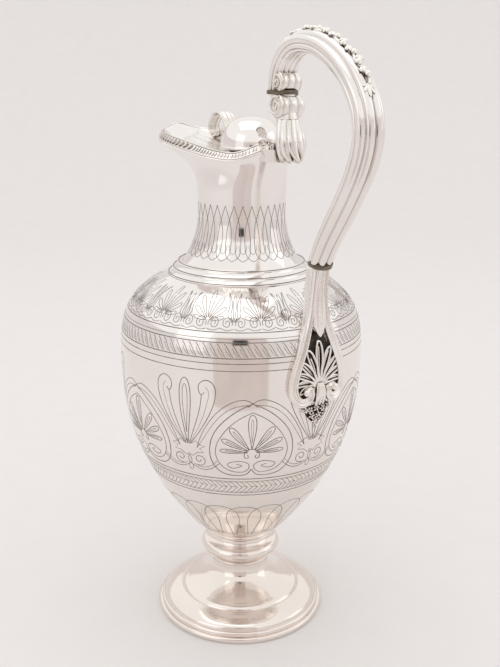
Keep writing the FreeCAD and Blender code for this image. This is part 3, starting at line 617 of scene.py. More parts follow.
def border_scroll(sign, name, replaces):
    """The border's wires end in a small spiral beside the hinge."""
    centre = Vector((-30.2, 8.4 * sign, 288.8))
    radial = Vector((centre.x, centre.y, 0)).normalized()
    side = UP.cross(radial).normalized() * sign
    piece = Piece()
    points = [centre - side * x + UP * y + radial * (0.55 + 0.3 * t)
              for t, x, y in winding(CURL_ROWS, -120, 1.35, 2.5, 0.72)]
    piece.tube(points, tapered(0.62, 0.1), [radial] * CURL_ROWS)
    disc = ((0.05, 0.35), (2.3, 0.35), (2.5, 0.0), (2.3, -0.8), (0.05, -0.9))
    piece.grid([[centre + (side * cos(a) + UP * sin(a)) * r + radial * d for a in around(28)]
                for r, d in disc], closed_across=True)
    piece.build(name, POLISHED, "cast_silver", replaces=replaces)


# ---- lid ----
def dome_outline(radius, height, count):
    points = []
    for k in range(count + 1):
        a = pi / 2 * k / count
        points.append((DOME_BASE_Z + height * sin(a) ** (2 / DOME_POWER),
                       max(radius * cos(a) ** (2 / DOME_POWER), 0.02)))
    return points


def lid_pieces():
    """The dome and its wire, and with them the plate and the finial."""
    height = DOME_TOP_Z - DOME_BASE_Z
    outer = dome_outline(DOME_R, height, 60)
    inner = dome_outline(DOME_R - WALL, height - WALL, 24)
    turned(outer + inner[::-1], DOME_X, 240).build("lid_dome_raised", POLISHED, "polished_silver", "lid",
                                                   replaces=["lid_dome"])
    wire = arc_outline((DOME_BASE_Z + 1.1, DOME_R + 0.05), 0.55, 1.0, -90, 90) + [
        (DOME_BASE_Z + 2.1, DOME_R - 0.2), (DOME_BASE_Z + 0.1, DOME_R - 0.2)]
    turned(wire, DOME_X, 160).build("lid_foot_wire", POLISHED, "polished_silver", "lid",
                                    replaces=["lid_bead"])
    lid_plate()
    finial()


def plate_floor(x):
    return LEAF_Z + x * sin(LEAF_TILT)


def plate_top(x, y, half):
    """Height of the plate's chased top: a raised midrib, curved veins and a crowned middle."""
    share = min(abs(y) / max(half, 0.3), 1.0)
    front = min(max((x - 6.0) / 14.0, 0.0), 1.0)
    rib = 1.1 * exp(-(y / 1.1) ** 2) * front
    veins = 0.42 * cos(TAU * (share * 3.0)) * front * (1 - share) ** 0.5
    crown = 1.3 * (1 - share ** 2) * front
    return plate_floor(x) + PLATE_THICK + rib + veins + crown


def lid_plate():
    """The leaf-shaped plate round the dome, with a hole under the dome."""
    outline = [(x, max(half, 0.02)) for x, half in curve_through(LEAF_OUTLINE, 110)]
    outline = [(x, half) for x, half in outline if hypot(x - DOME_X, half) > DOME_R + 0.3]
    xs = [x for x, _ in outline]
    halves = [half for _, half in outline]
    piece = Piece()
    rows = []
    for x, y in outline + [(x, -half) for x, half in outline[::-1]]:
        hole = (DOME_R - 0.4) / hypot(x - DOME_X, y)
        top = []
        for k in range(33):
            share = hole + (1 - hole) * k / 32
            px, py = DOME_X + (x - DOME_X) * share, y * share
            top.append(Vector((px, py, plate_top(px, py, float(np.interp(px, xs, halves))))))
        under = [Vector((p.x, p.y, plate_floor(p.x) + 0.05)) for p in top[::-2]]
        rows.append(top + under)
    piece.grid(rows, closed_across=True, caps=True)
    piece.build("lid_leaf_chased", CAST_LIGHT, "cast_silver", "lid", replaces=["lid_leaf"])


def strap_section(half_width, half_thick, ridges, depth, count, both=False):
    """One closed section (side, normal) of a flat bar whose outer face carries ridges, or both."""
    points = []
    for a in around(count):
        side = cos(a)
        rise = copysign(abs(sin(a)) ** 0.55, sin(a))
        wave = 0.5 - 0.5 * cos(TAU * ridges * (side + 1) / 2)
        groove = 1.0 - depth * wave * (1 - abs(side) ** 6) if rise > 0 or both else 1.0
        points.append((half_width * side, half_thick * rise * groove))
    return points


def swept(piece, points, outward, sections):
    """Adds a bar whose section (side, normal) is given at every point."""
    rows = []
    for p, n, section, step in zip(points, outward, sections, steps(points)):
        travel = step.normalized()
        side = travel.cross(n).normalized()
        normal = side.cross(travel).normalized()
        rows.append([p + side * a + normal * b for a, b in section])
    piece.grid(rows, closed_across=True, caps=True)


def finial():
    """The lid's scrolled acanthus loop."""
    line = [Vector((x, 0, z)) for x, z in curve_through(FINIAL_PATH, 90)]
    sections = []
    for i in range(90):
        t = i / 89
        width = 3.9 + 0.5 * sin(pi * min(t * 1.6, 1.0)) - 1.5 * max(t - 0.75, 0) * 4
        sections.append(strap_section(width, 1.3 - 0.4 * t, 3, 0.6, 60, both=True))
    piece = Piece()
    swept(piece, line, [ACROSS.cross(step.normalized()) for step in steps(line)], sections)
    tip_axes = (Vector((1.2, 0, 0)), Vector((0, 2.4, 0)), Vector((0, 0, 1.2)))
    piece.blob(line[-1] + Vector((0.4, 0, -0.6)), tip_axes)
    foot = Vector((10.6, 0, 286.2))
    for k in range(-2, 3):
        lean = radians(28 * k)
        ahead = Vector((cos(lean), sin(lean), 0.10))
        piece.blob(foot + ahead * 3.2, (ahead * 3.4, ahead.cross(UP) * 1.2, UP * 0.9))
    piece.build("finial_acanthus_loop", CAST, "cast_silver", "lid", replaces=["finial_loop"])


# ---- handle and upper mount ----
# one side's reeds as (distance from the middle, depth below the ridge, radius)
REEDS = [(2.45, 2.6, 2.6), (6.15, 5.0, 2.55), (6.5, 8.3, 1.7), (4.7, 9.9, 1.7), (1.6, 9.6, 2.1)]
REED_CORE = 4.3


def reed_section():
    """The clustered section: for each direction from its middle, the outermost of the reeds."""
    circles = REEDS + [(-y, d, r) for y, d, r in REEDS]
    middle = HANDLE_THICK / 2
    points = []
    for a in around(168):
        dy, dn = cos(a), sin(a)
        reach = REED_CORE
        for y, d, r in circles:
            n = middle - d
            along = y * dy + n * dn
            gap = r * r - (y * y + n * n - along * along)
            if gap > 0:
                reach = max(reach, along + sqrt(gap))
        points.append((dy * reach, dn * reach))
    return points


def handle_line():
    """Centre points, outward directions and size factors along the handle."""
    line = [Vector((-rho, 0, z)) for rho, z in curve_through(HANDLE_LINE, HANDLE_ROWS)]
    travel = [step.normalized() for step in steps(line)]
    travel[0] = UP
    travel[-1] = Vector((sin(JOINT_TILT), 0, -cos(JOINT_TILT)))
    factors = [straight(HANDLE_SCALE, i / (HANDLE_ROWS - 1)) for i in range(HANDLE_ROWS)]
    return line, [ACROSS.cross(way) for way in travel], factors


def handle():
    """The reeded loop: slimmer on its inner side towards the upper joint."""
    line, outward, factors = handle_line()
    section = reed_section()
    ridge = HANDLE_THICK / 2
    rows = []
    for i, (p, out, f) in enumerate(zip(line, outward, factors)):
        slim = straight(HANDLE_SLIM, i / (HANDLE_ROWS - 1))
        rows.append([p + ACROSS * (y * f) + out * ((ridge - (ridge - n) * slim) * f) for y, n in section])
    piece = Piece()
    piece.grid(rows, closed_across=True, caps=True)
    piece.build("handle_reeded", HANDLE_SILVER, "cast_silver", replaces=["handle_loop"], sharp=50.0)


def leaf(piece, root, axes, n, lobes, reach, breadth, thick, turns):
    """Adds flat lobes spread from a root, each given as (lean in degrees, half length)."""
    for lean, size in lobes:
        a = radians(lean)
        way = axes[0] * cos(a) + axes[1] * sin(a)
        piece.blob(root + way * (size * reach),
                   (way * size, way.cross(n) * (size * breadth), n * thick), turns=turns)


def vine():
    """The applied vine over the arch: a stem, three-lobed leaves and bunches of berries."""
    line, outward, factors = handle_line()
    piece = Piece()
    first, last = 4, 80
    ridge = [line[i] + outward[i] * (HANDLE_THICK / 2 * factors[i] - 0.5) for i in range(first, last)]
    outs = outward[first:last]
    stem = [p + ACROSS * (1.2 * sin(k * 0.42)) + outs[k] * 0.5 for k, p in enumerate(ridge)]
    piece.tube(stem, 0.8, outs)
    for index, k in enumerate(range(2, len(ridge) - 3, 6)):
        sign = 1 if index % 2 else -1
        p, n = ridge[k], outs[k]
        along = (ridge[k + 1] - ridge[k - 1]).normalized()
        root = p + ACROSS * (1.1 * sign) + n * 1.3 + n * 0.25
        lobes = ((-70, 1.5), (-15, 1.9), (45, 1.7))
        leaf(piece, root, (along, ACROSS * sign), n, lobes, 0.85, 0.62, 0.85, 12)
        bunch = ridge[min(k + 3, len(ridge) - 1)] - ACROSS * (0.9 * sign) + n * 1.2
        for j in range(5):
            turn = TAU * j / 4
            reach = 0.0 if j == 4 else 1.0
            spot = bunch + along * (reach * cos(turn)) + ACROSS * (reach * sin(turn))
            spot += n * (0.7 if j == 4 else 0.1 + 0.3 * random.random())
            piece.blob(spot, (along * 0.95, ACROSS * 0.95, n * 0.95), turns=12)
    along = (ridge[-1] - ridge[-3]).normalized()
    lobes = ((-60, 2.4), (-25, 3.2), (8, 3.8), (42, 3.0), (75, 2.2))
    leaf(piece, ridge[-1] + ACROSS + outs[-1] * 0.4, (along, ACROSS), outs[-1], lobes, 0.8, 0.30, 0.6, 10)
    piece.build("vine_of_leaves_and_berries", VINE_SILVER, "cast_silver", replaces=["handle_vine"])


def roll(piece, rho, z, radius, half, start, squash=1.0):
    """Adds a solid roll across the jug: grooved round its length, a spiral on each end."""
    centre = Vector((-rho, 0, z))
    half_row = [(0.31, 1.0), (0.38, 0.93), (0.45, 1.0), (0.88, 1.0), (0.97, 0.92), (1.0, 0.80)]
    stations = [(-share, size) for share, size in half_row[::-1]] + half_row
    piece.grid([[centre + ACROSS * (half * share)
                 + Vector((cos(a), 0, sin(a) * squash)) * (radius * size) for a in around(56)]
                for share, size in stations], closed_across=True, caps=True)
    for side in (-1, 1):
        end = centre + ACROSS * (side * half)
        curl = [end + Vector((-x, 0, y * squash))
                for _, x, y in winding(CURL_ROWS, start, 1.6, radius * 0.86, 0.70 / 0.86)]
        piece.tube(curl, tapered(0.75, 0.2), [ACROSS] * CURL_ROWS)
        piece.blob(curl[-1], (Vector((1.0, 0, 0)), Vector((0, 0.8, 0)), UP))


# sections of the socket and the volute's column as (way behind the axis, height, half widths Y and X)
SOCKET = [(40.2, 301.6, 6.2, 5.1), (41.2, 298.5, 6.8, 5.3), (43.2, 292.5, 8.2, 6.4),
          (43.9, 287.0, 8.4, 6.6), (43.6, 283.0, 7.6, 5.8), (43.2, 280.4, 6.2, 4.6), (42.8, 278.9, 4.6, 3.0)]
COLUMN = [(40.6, 301.0, 6.4, 5.2), (39.6, 304.4, 6.4, 5.4), (38.0, 308.6, 6.4, 5.8), (36.3, 313.1, 7.6, 6.8)]


def upper_mount():
    """The fluted socket, the rolled volute over it and the scroll on the handle's inner side."""
    socket = Piece()
    rows = []
    for rho, z, half_y, half_x in curve_through(SOCKET, 60):
        sweep = 0.45 * sin(pi * (301.6 - z) / 23)
        low = min(max((289.0 - z) / 9.0, 0.0), 1.0)
        row = []
        for a in around(168):
            crest = abs(sin((a + sweep) * 4.5)) ** 0.55
            flute = 0.90 + 0.12 * crest
            flare = 4.6 * low ** 2 * max(-cos(a), 0.0) ** 3 * crest
            row.append(Vector((-rho + half_x * flute * cos(a) - flare, half_y * flute * sin(a),
                               z + 1.6 * low * (1.0 - crest))))
        rows.append(row)
    socket.grid(rows, closed_across=True, caps=True)
    socket.build("socket_fluted", CAST, "cast_silver", replaces=["handle_socket"], sharp=60.0)

    volute = Piece()
    volute.grid([[Vector((-rho + half_x * cos(a), half_y * sin(a), z)) for a in around(48)]
                 for rho, z, half_y, half_x in curve_through(COLUMN, 24)], closed_across=True, caps=True)
    roll(volute, 39.9, 307.3, 6.0, 7.4, 60)
    volute.build("volute_rolled_leaf", CAST, "cast_silver", replaces=["upper_volute"])

    scroll = Piece()
    roll(scroll, 38.9, 319.2, 4.9, 6.2, -60, 1.06)
    scroll.build("scroll_on_handle", CAST, "cast_silver", replaces=["handle_scroll"])


# ---- lower mount ----
def body_table():
    rows = curve_through(BODY_PROFILE, 400)
    return [r[0] for r in rows], [r[1] for r in rows]


BODY_Z, BODY_R = body_table()


def body_point(arc, z, lift):
    """A point over the body behind the jug, with the way out of the body there."""
    r = float(np.interp(z, BODY_Z, BODY_R))
    slope = (float(np.interp(z + 0.5, BODY_Z, BODY_R)) - float(np.interp(z - 0.5, BODY_Z, BODY_R)))
    angle = pi - arc / r
    out = (polar(angle, 1.0, 0.0) - UP * slope).normalized()
    return polar(angle, r, z) + out * lift, out


def lower_mount():
    """The tongue, the straps with curled ends, and the ornament under the handle."""
    line = [Vector((-rho, 0, z)) for rho, z in curve_through(TONGUE_LINE, 60)]
    widths = [(0.0, 2.8), (0.2, 3.2), (0.45, 3.9), (0.66, 4.6), (0.84, 3.9), (0.95, 1.9), (1.0, 0.5)]
    thick = [(0.0, 4.6), (0.45, 4.4), (0.66, 3.9), (0.84, 2.6), (1.0, 1.0)]
    sections = [strap_section(straight(widths, i / 59), straight(thick, i / 59), 3, 0.20, 72)
                for i in range(60)]
    tongue = Piece()
    swept(tongue, line, [ACROSS.cross(step.normalized()) for step in steps(line)], sections)
    tongue.build("tongue_fluted", CAST_LIGHT, "cast_silver", replaces=["handle_tongue"])

    for sign, side in ((-1, "left"), (1, "right")):
        points = []
        outs = []
        sections = []
        for i, (arc, z, radius) in enumerate(curve_through(STRAP_LINE, 130)):
            a = arc / radius
            outs.append(Vector((-cos(a), -sign * sin(a), 0)))
            points.append(Vector((-radius * cos(a), -sign * radius * sin(a), z)))
            share = min(max((z - 190.0) / 25.0, 0.0), 1.0)
            fade = straight([(0.0, 1.0), (0.86, 1.0), (1.0, 0.55)], i / 129)
            sections.append(strap_section((2.75 - 0.5 * share) * fade, 2.2 + 1.7 * share, 3, 0.34, 56))
        strap = Piece()
        swept(strap, points, outs, sections)
        eye = points[-1] + outs[-1] * 0.8
        strap.blob(eye, (ACROSS * 2.0, UP * 2.0, outs[-1] * 1.9), rings=8, turns=16)
        strap.build("strap_" + side, CAST_LIGHT, "cast_silver", replaces=["lower_strap_" + side])
    palmette()
    husk_and_flowers()


def lobe(piece, centre_z, angle, length, width, lift, height):
    """A raised lobe with a rim wire and a ribbed middle, bent outwards as it lies on the body."""
    bend = radians(angle) * 0.35

    def place(along, across, over):
        lean = radians(angle) - bend + bend * 1.6 * along / length
        s, c = sin(lean), cos(lean)
        return body_point(along * s + across * c, centre_z + along * c - across * s, over)

    rim = []
    for a in around(28):
        along = length * (0.5 - 0.5 * cos(a))
        across = width * sin(a) * (0.22 + 0.78 * (along / length) ** 1.2)
        rim.append(place(along, across, lift + height))
    spine = [place(length * (0.1 + 0.8 * k / 8), 0.0, lift + height * 0.4)[0] for k in range(9)]
    piece.tube([p for p, _ in rim], 0.62, [n for _, n in rim], closed=True)
    piece.tube(spine, [0.3 + 0.4 * k / 8 for k in range(9)], turns=6)


def palmette():
    """Eleven lobes spread over the body, with a curl at each side of their root."""
    piece = Piece()
    for i in range(-5, 6):
        length = LOBE_LENGTH * (1.0 - 0.105 * abs(i))
        lobe(piece, PALMETTE_Z, LOBE_LEAN * i, length, 3.0 - 0.22 * abs(i), 0.6, 1.1)
    for side in (-1, 1):
        curl = [body_point(side * (5.4 - x), 163.4 + 0.9 * y, 1.7 + 0.9 * t)
                for t, x, y in winding(40, 0, 1.25, 3.6, 0.82)]
        piece.tube([p for p, _ in curl], 0.75, [n for _, n in curl])
    piece.build("palmette_eleven_lobes", CAST_DEEP_SHADE, "cast_silver", replaces=["palmette"])


def husk_and_flowers():
    """Three bell petals under the palmette, and the flowers on their dark ground."""
    husk = Piece()
    shares = [j / 12 for j in range(13)]
    for arc, lean in ((-1.9, -14), (0.0, 0), (1.9, 14)):
        drift = sin(radians(lean)) * 2
        spine = [body_point(arc * (0.35 + 0.65 * t) + drift * t, 166.8 - 12.2 * t,
                            2.4 + 0.9 * sin(pi * t)) for t in shares]
        radii = [0.7 + 1.0 * sin(pi * min(t + 0.12, 1.0)) for t in shares]
        husk.tube([p for p, _ in spine], radii, [n for _, n in spine], flat=0.8, turns=10)
    husk.build("bell_husk", CAST_DEEP_SHADE, "cast_silver", replaces=["husk"])

    flowers = Piece()
    spots = [(-7.2, 152.2), (-3.2, 151.6), (1.0, 152.4), (5.0, 151.8), (8.0, 152.0), (-4.8, 148.8),
             (-0.6, 148.4), (3.6, 148.6), (-2.4, 145.8), (1.6, 145.6), (-0.2, 143.6)]
    for index, (arc, z) in enumerate(spots):
        heart, n = body_point(arc, z, 1.2)
        upward = (UP - n * n.z).normalized()
        sideways = upward.cross(n)
        flowers.blob(heart + n * 0.7, (sideways * 0.55, upward * 0.55, n * 0.6), rings=4, turns=8)
        for j in range(5):
            a = TAU * j / 5 + index * 0.7
            way = sideways * cos(a) + upward * sin(a)
            flowers.blob(heart + way * 1.25, (way * 0.95, way.cross(n) * 0.55, n * 0.6), rings=4, turns=8)
    flowers.build("flower_cluster_chased", CAST_LIGHT, "cast_silver", replaces=["flower_cluster"])
    ground = Piece()
    ground.grid([[body_point(arc * w, z, 0.25)[0] for w in (-1, -0.5, 0, 0.5, 1)]
                 for arc, z in ((8.6, 153.6), (8.2, 151.0), (6.0, 147.6), (3.0, 144.6), (0.6, 142.9))])
    ground.build("flower_ground", GROUND, "oxidised_silver")


# ---- engraving ----
LINE_LIFT = 0.035


class Engraving:
    """Thin dark lines of painted cut shade just over a turned surface, drawn in millimetres round a place on
    it.
    """

    def __init__(self, profile):
        rows = curve_through(profile, 500)
        self.z = [r[0] for r in rows]
        self.r = [r[1] for r in rows]
        self.piece = Piece()

    def radius(self, z):
        return float(np.interp(z, self.z, self.r))

    def at(self, angle, z):
        r = self.radius(z)
        slope = self.radius(z + 0.4) - self.radius(z - 0.4)
        out = (polar(angle, 0.8, 0.0) - UP * slope).normalized()
        return polar(angle, r, z) + out * LINE_LIFT, out

    def line(self, pairs, width, closed=False):
        """Adds a line through (angle in radians, height) pairs."""
        spots = [self.at(a, z) for a, z in pairs]
        self.piece.strip([p for p, _ in spots], [n for _, n in spots], width / 2, closed)

    def ring(self, z, width):
        self.line([(a, z) for a in around(240)], width, closed=True)

    def draw(self, angle, z, points, width, flip=False):
        """Adds a local drawing of (across, up) points round a place."""
        sign = -1 if flip else 1
        self.line([(angle + sign * s / self.radius(min(z + t, self.z[-1])), z + t) for s, t in points],
                  width)

    def both(self, angle, z, points, width):
        """Adds a drawing and its mirror image."""
        self.draw(angle, z, points, width)
        self.draw(angle, z, points, width, flip=True)


def petal(lean, start, length, width, base, count=26):
    """A long petal from near the origin, leaning from upright by an angle in degrees."""
    s, c = sin(radians(lean)), cos(radians(lean))
    points = []
    for k in range(count + 1):
        a = TAU * k / count
        along = start + length * (0.5 - 0.5 * cos(a))
        across = width * sin(a) * (base + (1 - base) * (along - start) / length)
        points.append((along * s + across * c, along * c - across * s))
    return points


def spiral(cx, cy, radius, turns, start, count=30):
    """An engraved spiral round a centre; it winds clockwise where turns is negative."""
    return [(cx + x, cy + y) for _, x, y in winding(count + 1, start, turns, radius, 0.85)]


HEART = [(0, 36.5), (5, 34), (11.5, 29), (17, 21.6), (19.6, 14), (18.2, 7), (13.5, 1.6), (7.5, -0.4),
         (2.4, 0.8), (1.3, 4.4), (5.2, 6.8), (10.0, 6.4), (13.0, 4.6), (11.4, 2.8), (7.6, 2.6),
         (5.2, 3.8), (8.2, 4.9)]
HEART_OUTER = [(0, 41.4), (6, 38.6), (13.5, 33), (20.2, 24.5), (22.8, 14.5), (21.2, 5.6), (15.5, -1.0),
               (8.0, -2.8), (2.0, -1.4), (0.2, 1.6)]
LONG_LEAF = [(-2.5, 39.5), (4, 43.5), (12, 41.5), (19, 36), (24.6, 28), (28.6, 19), (30.0, 13.6)]
LONG_LEAF_INNER = [(2.5, 40.6), (9, 39.6), (16, 35.2), (21.8, 28), (26.4, 20), (30.0, 13.6)]
KNOT = [(0, 14.6), (2.2, 14.0), (3.8, 12.0), (4.0, 9.8), (2.8, 8.8), (1.8, 10.0), (2.6, 11.0)]
FLAME_OUTER = [(1.2, 0), (6.5, 7), (11.5, 15), (15.4, 23), (17.2, 30), (16.4, 35.6), (12.6, 38.2),
               (8.8, 36.4), (8.0, 32.6), (9.6, 30.0), (11.2, 31.6)]
FLAME_INNER = [(9.6, 30.0), (8.8, 24.0), (6.6, 16.0), (3.4, 7.0), (0.9, 0.4)]
FLAME_VEIN = [(2.2, 2.0), (6.6, 10), (10.6, 19), (13.0, 27), (13.4, 32.4), (11.8, 34.4)]
CALYX = [(0, 3.0), (2.4, 0.6), (4.4, 2.4), (6.8, 0.4), (9.6, -0.6), (6.6, -2.2), (8.6, -4.4),
         (4.6, -5.0), (2.0, -7.4), (0, -6.0)]
STALK = [(0.2, -7), (0.9, -10), (0.3, -13)]
SCROLL_OUTER = [(1.4, -13.4), (6, -15.6), (11.5, -14.6), (16.5, -10.6)]
SCROLL_INNER = [(2.0, -12.4), (6, -14.0), (11.0, -13.0), (15.5, -9.2)]
DROP = [(0, -12), (1.2, -14), (0, -17), (-1.2, -14), (0, -12)]
CHEVRON = [(0, 3.6), (1.2, 3.4), (2.6, 1.6), (4.0, 0.3)]
BETWEEN_LEAF = [(0.3, -0.4), (1.8, 3.0), (1.3, 7.0), (3.2, 11.2), (2.6, 6.6), (3.4, 3.4), (1.2, -0.4)]
LANCET = [(0.0, 29.6), (1.0, 26.4), (2.7, 21.0), (3.9, 14.0), (4.2, 7.6), (3.2, 2.4), (0.0, 0.2)]

# border rings round the body as (height, width)
BODY_RINGS = [(99.2, 0.55), (101.2, 0.35), (109.6, 0.35), (111.6, 0.55), (176.2, 0.42), (180.0, 0.42),
              (182.8, 0.5), (190.8, 0.5), (192.6, 0.3), (195.6, 0.5)]
FRIEZE_REPEATS = 6
MEDALLION_Z = 117.0
LILY_Z = 132.5
CHEVRONS = 132
CHEVRON_Z = 105.4
HATCHES = 112
HATCH_Z = 183.4
SHOULDER_LEAVES = 14
SHOULDER_Z = 200.6
SCALLOPS = 22
SCALLOP_Z = 76.0
LANCETS = 32
LANCET_Z = 225.2


def medallion(cut, angle, z):
    """The heart-shaped medallion with its seven-petal palmette and the leaves arched over it."""
    for points, count, width in ((HEART, 90, 0.42), (HEART_OUTER, 50, 0.52), (LONG_LEAF, 34, 0.40),
                                 (LONG_LEAF_INNER, 30, 0.30)):
        cut.both(angle, z, smooth_line(points, count), width)
    for lean, length, width in ((0, 20.5, 3.3), (38, 17.0, 2.7), (64, 16.0, 2.2), (86, 15.0, 1.8)):
        shape = [(s, t + 12.4) for s, t in petal(lean, 2.2, length, width, 0.12)]
        core = [(s, t + 12.4) for s, t in petal(lean, 6.0, length - 6.5, width * 0.28, 0.1)]
        for flip in ((False, True) if lean else (False,)):
            cut.draw(angle, z, shape, 0.44, flip)
            cut.draw(angle, z, core, 0.24, flip)
    cut.both(angle, z, smooth_line(KNOT), 0.46)


def lily(cut, angle, z):
    """The tall lily between two flame-shaped leaves, its calyx and the scrolls below it."""
    cut.draw(angle, z, petal(0, 0.0, 38.5, 4.9, 0.12), 0.46)
    cut.draw(angle, z, petal(0, 7.0, 28.0, 2.2, 0.1), 0.32)
    for points, count, width in ((FLAME_OUTER, 60, 0.44), (FLAME_INNER, 30, 0.40), (FLAME_VEIN, 30, 0.24)):
        cut.both(angle, z, smooth_line(points, count), width)
    cut.both(angle, z, CALYX, 0.38)
    for points, width in ((STALK, 0.36), (SCROLL_OUTER, 0.42), (SCROLL_INNER, 0.30)):
        cut.both(angle, z, smooth_line(points), width)
    cut.both(angle, z, spiral(5.6, -9.4, 3.9, 1.35, 250), 0.42)
    cut.draw(angle, z, smooth_line(DROP), 0.34)


def shoulder_leaf(cut, angle):
    """One palmette of the shoulder's row, with the leaf and the scrolls between it and the next."""
    for lean, length, width in ((0, 11.5, 1.6), (28, 10.6, 1.5), (54, 9.0, 1.4), (78, 7.0, 1.2)):
        shape = [(s, t * 0.95) for s, t in petal(lean, 1.4, length, width, 0.15, 18)]
        for flip in ((False, True) if lean else (False,)):
            cut.draw(angle, SHOULDER_Z, shape, 0.34, flip)
    between = angle + pi / SHOULDER_LEAVES
    cut.both(between, SHOULDER_Z, smooth_line(BETWEEN_LEAF, 30), 0.34)
    cut.draw(between, SHOULDER_Z, petal(0, 0.0, 10.6, 1.2, 0.3, 18), 0.30)
    for place, radius in ((angle, 3.1), (between, 2.9)):
        cut.both(place, SHOULDER_Z, spiral(3.6, -0.8, radius, -1.7, 200, 34), 0.36)
        cut.both(place, SHOULDER_Z, smooth_line([(0.3, -3.4), (3.4, -4.1), (7.2, -3.0)], 8), 0.34)


def engrave_body():
    cut = Engraving(BODY_PROFILE)
    for z, width in BODY_RINGS:
        cut.ring(z, width)
    for k in range(FRIEZE_REPEATS):
        medallion(cut, radians(30 + 60 * k), MEDALLION_Z)
        lily(cut, radians(60 * k), LILY_Z)
    for k, angle in enumerate(around(CHEVRONS)):
        upper = smooth_line(CHEVRON, 9)
        cut.draw(angle, CHEVRON_Z, upper, 0.30)
        cut.draw(angle, CHEVRON_Z, [(s, -t) for s, t in upper], 0.30)
        if k % 2:
            cut.draw(angle, CHEVRON_Z, smooth_line([(0.4, 0), (2.2, 0.5), (4.4, 0)], 6), 0.24)
    for angle in around(HATCHES):
        for points, count, width in (([(0, 0), (0.8, 1.0), (3.4, 5.4), (4.6, 6.8)], 9, 0.36),
                                     ([(1.2, 0.4), (2.0, 1.0), (4.2, 4.6)], 7, 0.24)):
            cut.draw(angle, HATCH_Z, smooth_line(points, count), width, flip=True)
    for angle in around(SHOULDER_LEAVES):
        shoulder_leaf(cut, angle)
    r = cut.radius(SCALLOP_Z)
    side = [(radians(11.6) * r, 9.6), (radians(13.6) * r, 3.0), (radians(11) * r, -6),
            (radians(7) * r, -16)]
    scallop = smooth_line([(-s, t) for s, t in side[::-1]] + [(0, 13.2)] + side, 50)
    for angle in around(SCALLOPS):
        cut.draw(angle, SCALLOP_Z, scallop, 0.36)
    cut.piece.build("body_engraving", GRAVER, "engraved_silver")


def engrave_neck():
    cut = Engraving(NECK_PROFILE)
    for angle in around(LANCETS):
        cut.both(angle, LANCET_Z, smooth_line(LANCET), 0.32)
        cut.both(angle, LANCET_Z, smooth_line([(0.0, 3.8), (1.5, 5.2), (2.0, 8.6)], 8), 0.22)
    cut.piece.build("neck_engraving", GRAVER, "engraved_silver")


# ---- CAD pieces that stay ----
def dress_cad():
    """Materials for the CAD solids whose own shape shows."""
    finishes = {"back_collar": POLISHED, "hinge_knuckles": POLISHED, "hinge_pin": POLISHED,
                "lid_knuckle": POLISHED, "upper_insulator": BONE, "lower_insulator": BONE,
                "upper_dowel": POLISHED, "lower_dowel": POLISHED, "plaque": GROUND}
    for name, material in finishes.items():
        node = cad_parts[name]
        node.data.materials.clear()
        node.data.materials.append(material)


# ---- studio ----
# the camera's place in metres; yaw, pitch and roll are taken in axes turned about +Z
CAMERA_PLACE = Vector((-0.4001, 0.2817, 0.3178))
CAMERA_TURN = radians(33.2)
CAMERA_YAW = 0.0446
CAMERA_PITCH = 0.2814
CAMERA_ROLL = 0.0075
CAMERA_LENS = 46.48
PAPER = (0.765, 0.742, 0.738)
PAPER_GLOW = 0.09
FLOOR_RADIUS = 1.4
WALL_BEND = 1.0
LIGHT_COLOUR = (1.0, 0.98, 0.965)
# name, place, width and height, power; they all face this point of the jug
LIGHT_TARGET = Vector((0, 0, 0.2))
LIGHTS = [("overhead", (0.1, 0.1, 1.35), (1.0, 1.0), 1.6), ("left_soft", (-0.2, 1.5, 0.8), (0.9, 1.1), 0.8),
          ("right_soft", (-0.9, -1.3, 0.8), (0.8, 1.0), 0.7)]
# name, way from the jug to the camera's side, reach across and upwards, darker and lighter colour
CARDS = [("grey_card", 0.36, (-0.155, 0.145), (0.0, 0.37), (0.74, 0.68, 0.66), (0.82, 0.76, 0.74)),
         ("dark_card", 0.35, (-0.04, 0.04), (0.27, 0.33), (0.012, 0.011, 0.012), (0.03, 0.028, 0.03))]


def camera():
    """Places the camera and gives back the way that it looks."""
    ex = Vector((-sin(CAMERA_TURN), cos(CAMERA_TURN), 0))
    ey = Vector((-cos(CAMERA_TURN), -sin(CAMERA_TURN), 0))
    ahead = Vector((sin(CAMERA_YAW) * cos(CAMERA_PITCH),
                    cos(CAMERA_YAW) * cos(CAMERA_PITCH), -sin(CAMERA_PITCH)))
    right = Vector((cos(CAMERA_YAW), -sin(CAMERA_YAW), 0))
    up = right.cross(ahead)
    c, s = cos(CAMERA_ROLL), sin(CAMERA_ROLL)
    right, up = right * c + up * s, up * c - right * s
    columns = [Vector((v.dot(ex), v.dot(ey), v.z)) for v in (right, up, -ahead)]
    data = bpy.data.cameras.new("camera")
    data.lens = CAMERA_LENS
    data.sensor_width = 36.0
    data.clip_start = 0.02
    data.clip_end = 30.0
    obj = into_scene("camera", data)
    matrix = Matrix.Identity(4)
    for k, column in enumerate(columns):
        for row in range(3):
            matrix[row][k] = column[row]
    matrix.translation = CAMERA_PLACE
    obj.matrix_world = matrix
    bpy.context.scene.camera = obj
    return -columns[2]


def area_light(name, place, size, power):
    data = bpy.data.lights.new(name, "AREA")
    data.shape = "RECTANGLE"
    data.size, data.size_y = size
    data.energy = power
    data.color = LIGHT_COLOUR
    obj = into_scene(name, data)
    obj.location = place
    obj.rotation_euler = (LIGHT_TARGET - Vector(place)).to_track_quat("-Z", "Y").to_euler()


def paper_material():
    """Pale paper with a faint glow, so that the sweep stays even from floor to wall."""
    surface = Surface("pale_paper")
    surface.colours(surface.noise(40.0, 3.0), [(0.3, tuple(0.985 * v for v in PAPER)), (0.7, PAPER)],
                    "Base Color", "Emission Color")
    surface.inputs["Emission Strength"].default_value = PAPER_GLOW
    surface.inputs["Roughness"].default_value = 0.9
    surface.inputs["Specular IOR Level"].default_value = 0.1
    return surface.material


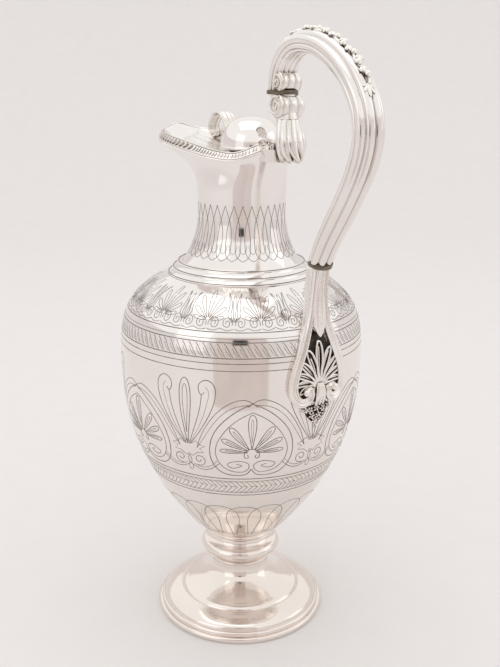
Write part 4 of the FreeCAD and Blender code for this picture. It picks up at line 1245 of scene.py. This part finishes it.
def paper_sweep():
    """A round floor that bends up into a wall all the way round."""
    outline = [(0.001, 0.0), (FLOOR_RADIUS, 0.0)]
    for k in range(1, 13):
        a = pi / 2 * k / 12
        outline.append((FLOOR_RADIUS + WALL_BEND * sin(a), WALL_BEND - WALL_BEND * cos(a)))
    count = 96
    verts = [(r * cos(a), r * sin(a), z) for r, z in outline for a in around(count)]
    faces = []
    for i in range(len(outline) - 1):
        for k in range(count):
            n = (k + 1) % count
            faces.append((i * count + k, i * count + n, (i + 1) * count + n, (i + 1) * count + k))
    faces.append(tuple(range(count)))
    paper = bpy.data.meshes.new("paper_sweep")
    paper.from_pydata(verts, [], faces)
    paper.shade_smooth()
    paper.materials.append(paper_material())
    sweep = into_scene("paper_sweep", paper)


def stand_in(name, place, facing, across, heights, dark, light):
    """An upright card that only reflections see."""
    side = facing.cross(UP).normalized()
    corners = [place + side * across[i] + UP * heights[j] for i, j in ((0, 0), (1, 0), (1, 1), (0, 1))]
    mesh = bpy.data.meshes.new(name)
    mesh.from_pydata([tuple(c) for c in corners], [], [(0, 1, 2, 3)])
    surface = Surface(name)
    surface.colours(surface.noise(9.0, 2.0), [(0.3, dark), (0.7, light)], "Base Color")
    surface.inputs["Roughness"].default_value = 0.9
    mesh.materials.append(surface.material)
    obj = into_scene(name, mesh)
    obj.visible_camera = False
    obj.visible_shadow = False
    obj.visible_diffuse = False


def studio(view):
    """The paper sweep, soft lights overhead and at both sides, and two cards by the camera."""
    paper_sweep()
    world = bpy.data.worlds.new("studio")
    world.use_nodes = True
    background = world.node_tree.nodes["Background"]
    background.inputs["Color"].default_value = (1.0, 0.985, 0.965, 1)
    background.inputs["Strength"].default_value = 1.0
    bpy.context.scene.world = world
    bpy.context.scene.view_settings.view_transform = "Standard"
    for light in LIGHTS:
        area_light(*light)
    away = -Vector((view.x, view.y, 0)).normalized()
    for name, distance, *rest in CARDS:
        stand_in(name, away * distance, away, *rest)


# ---- the whole scene ----
foot_and_knop()
body_and_neck()
mouth()
for sign, side in ((1, "left"), (-1, "right")):
    border_side(sign, "border_" + side, ["rim_border_" + side])
    border_scroll(sign, "border_scroll_" + side, ["border_volute_" + side])
lid_pieces()
handle()
vine()
upper_mount()
lower_mount()
engrave_body()
engrave_neck()
dress_cad()
studio(camera())
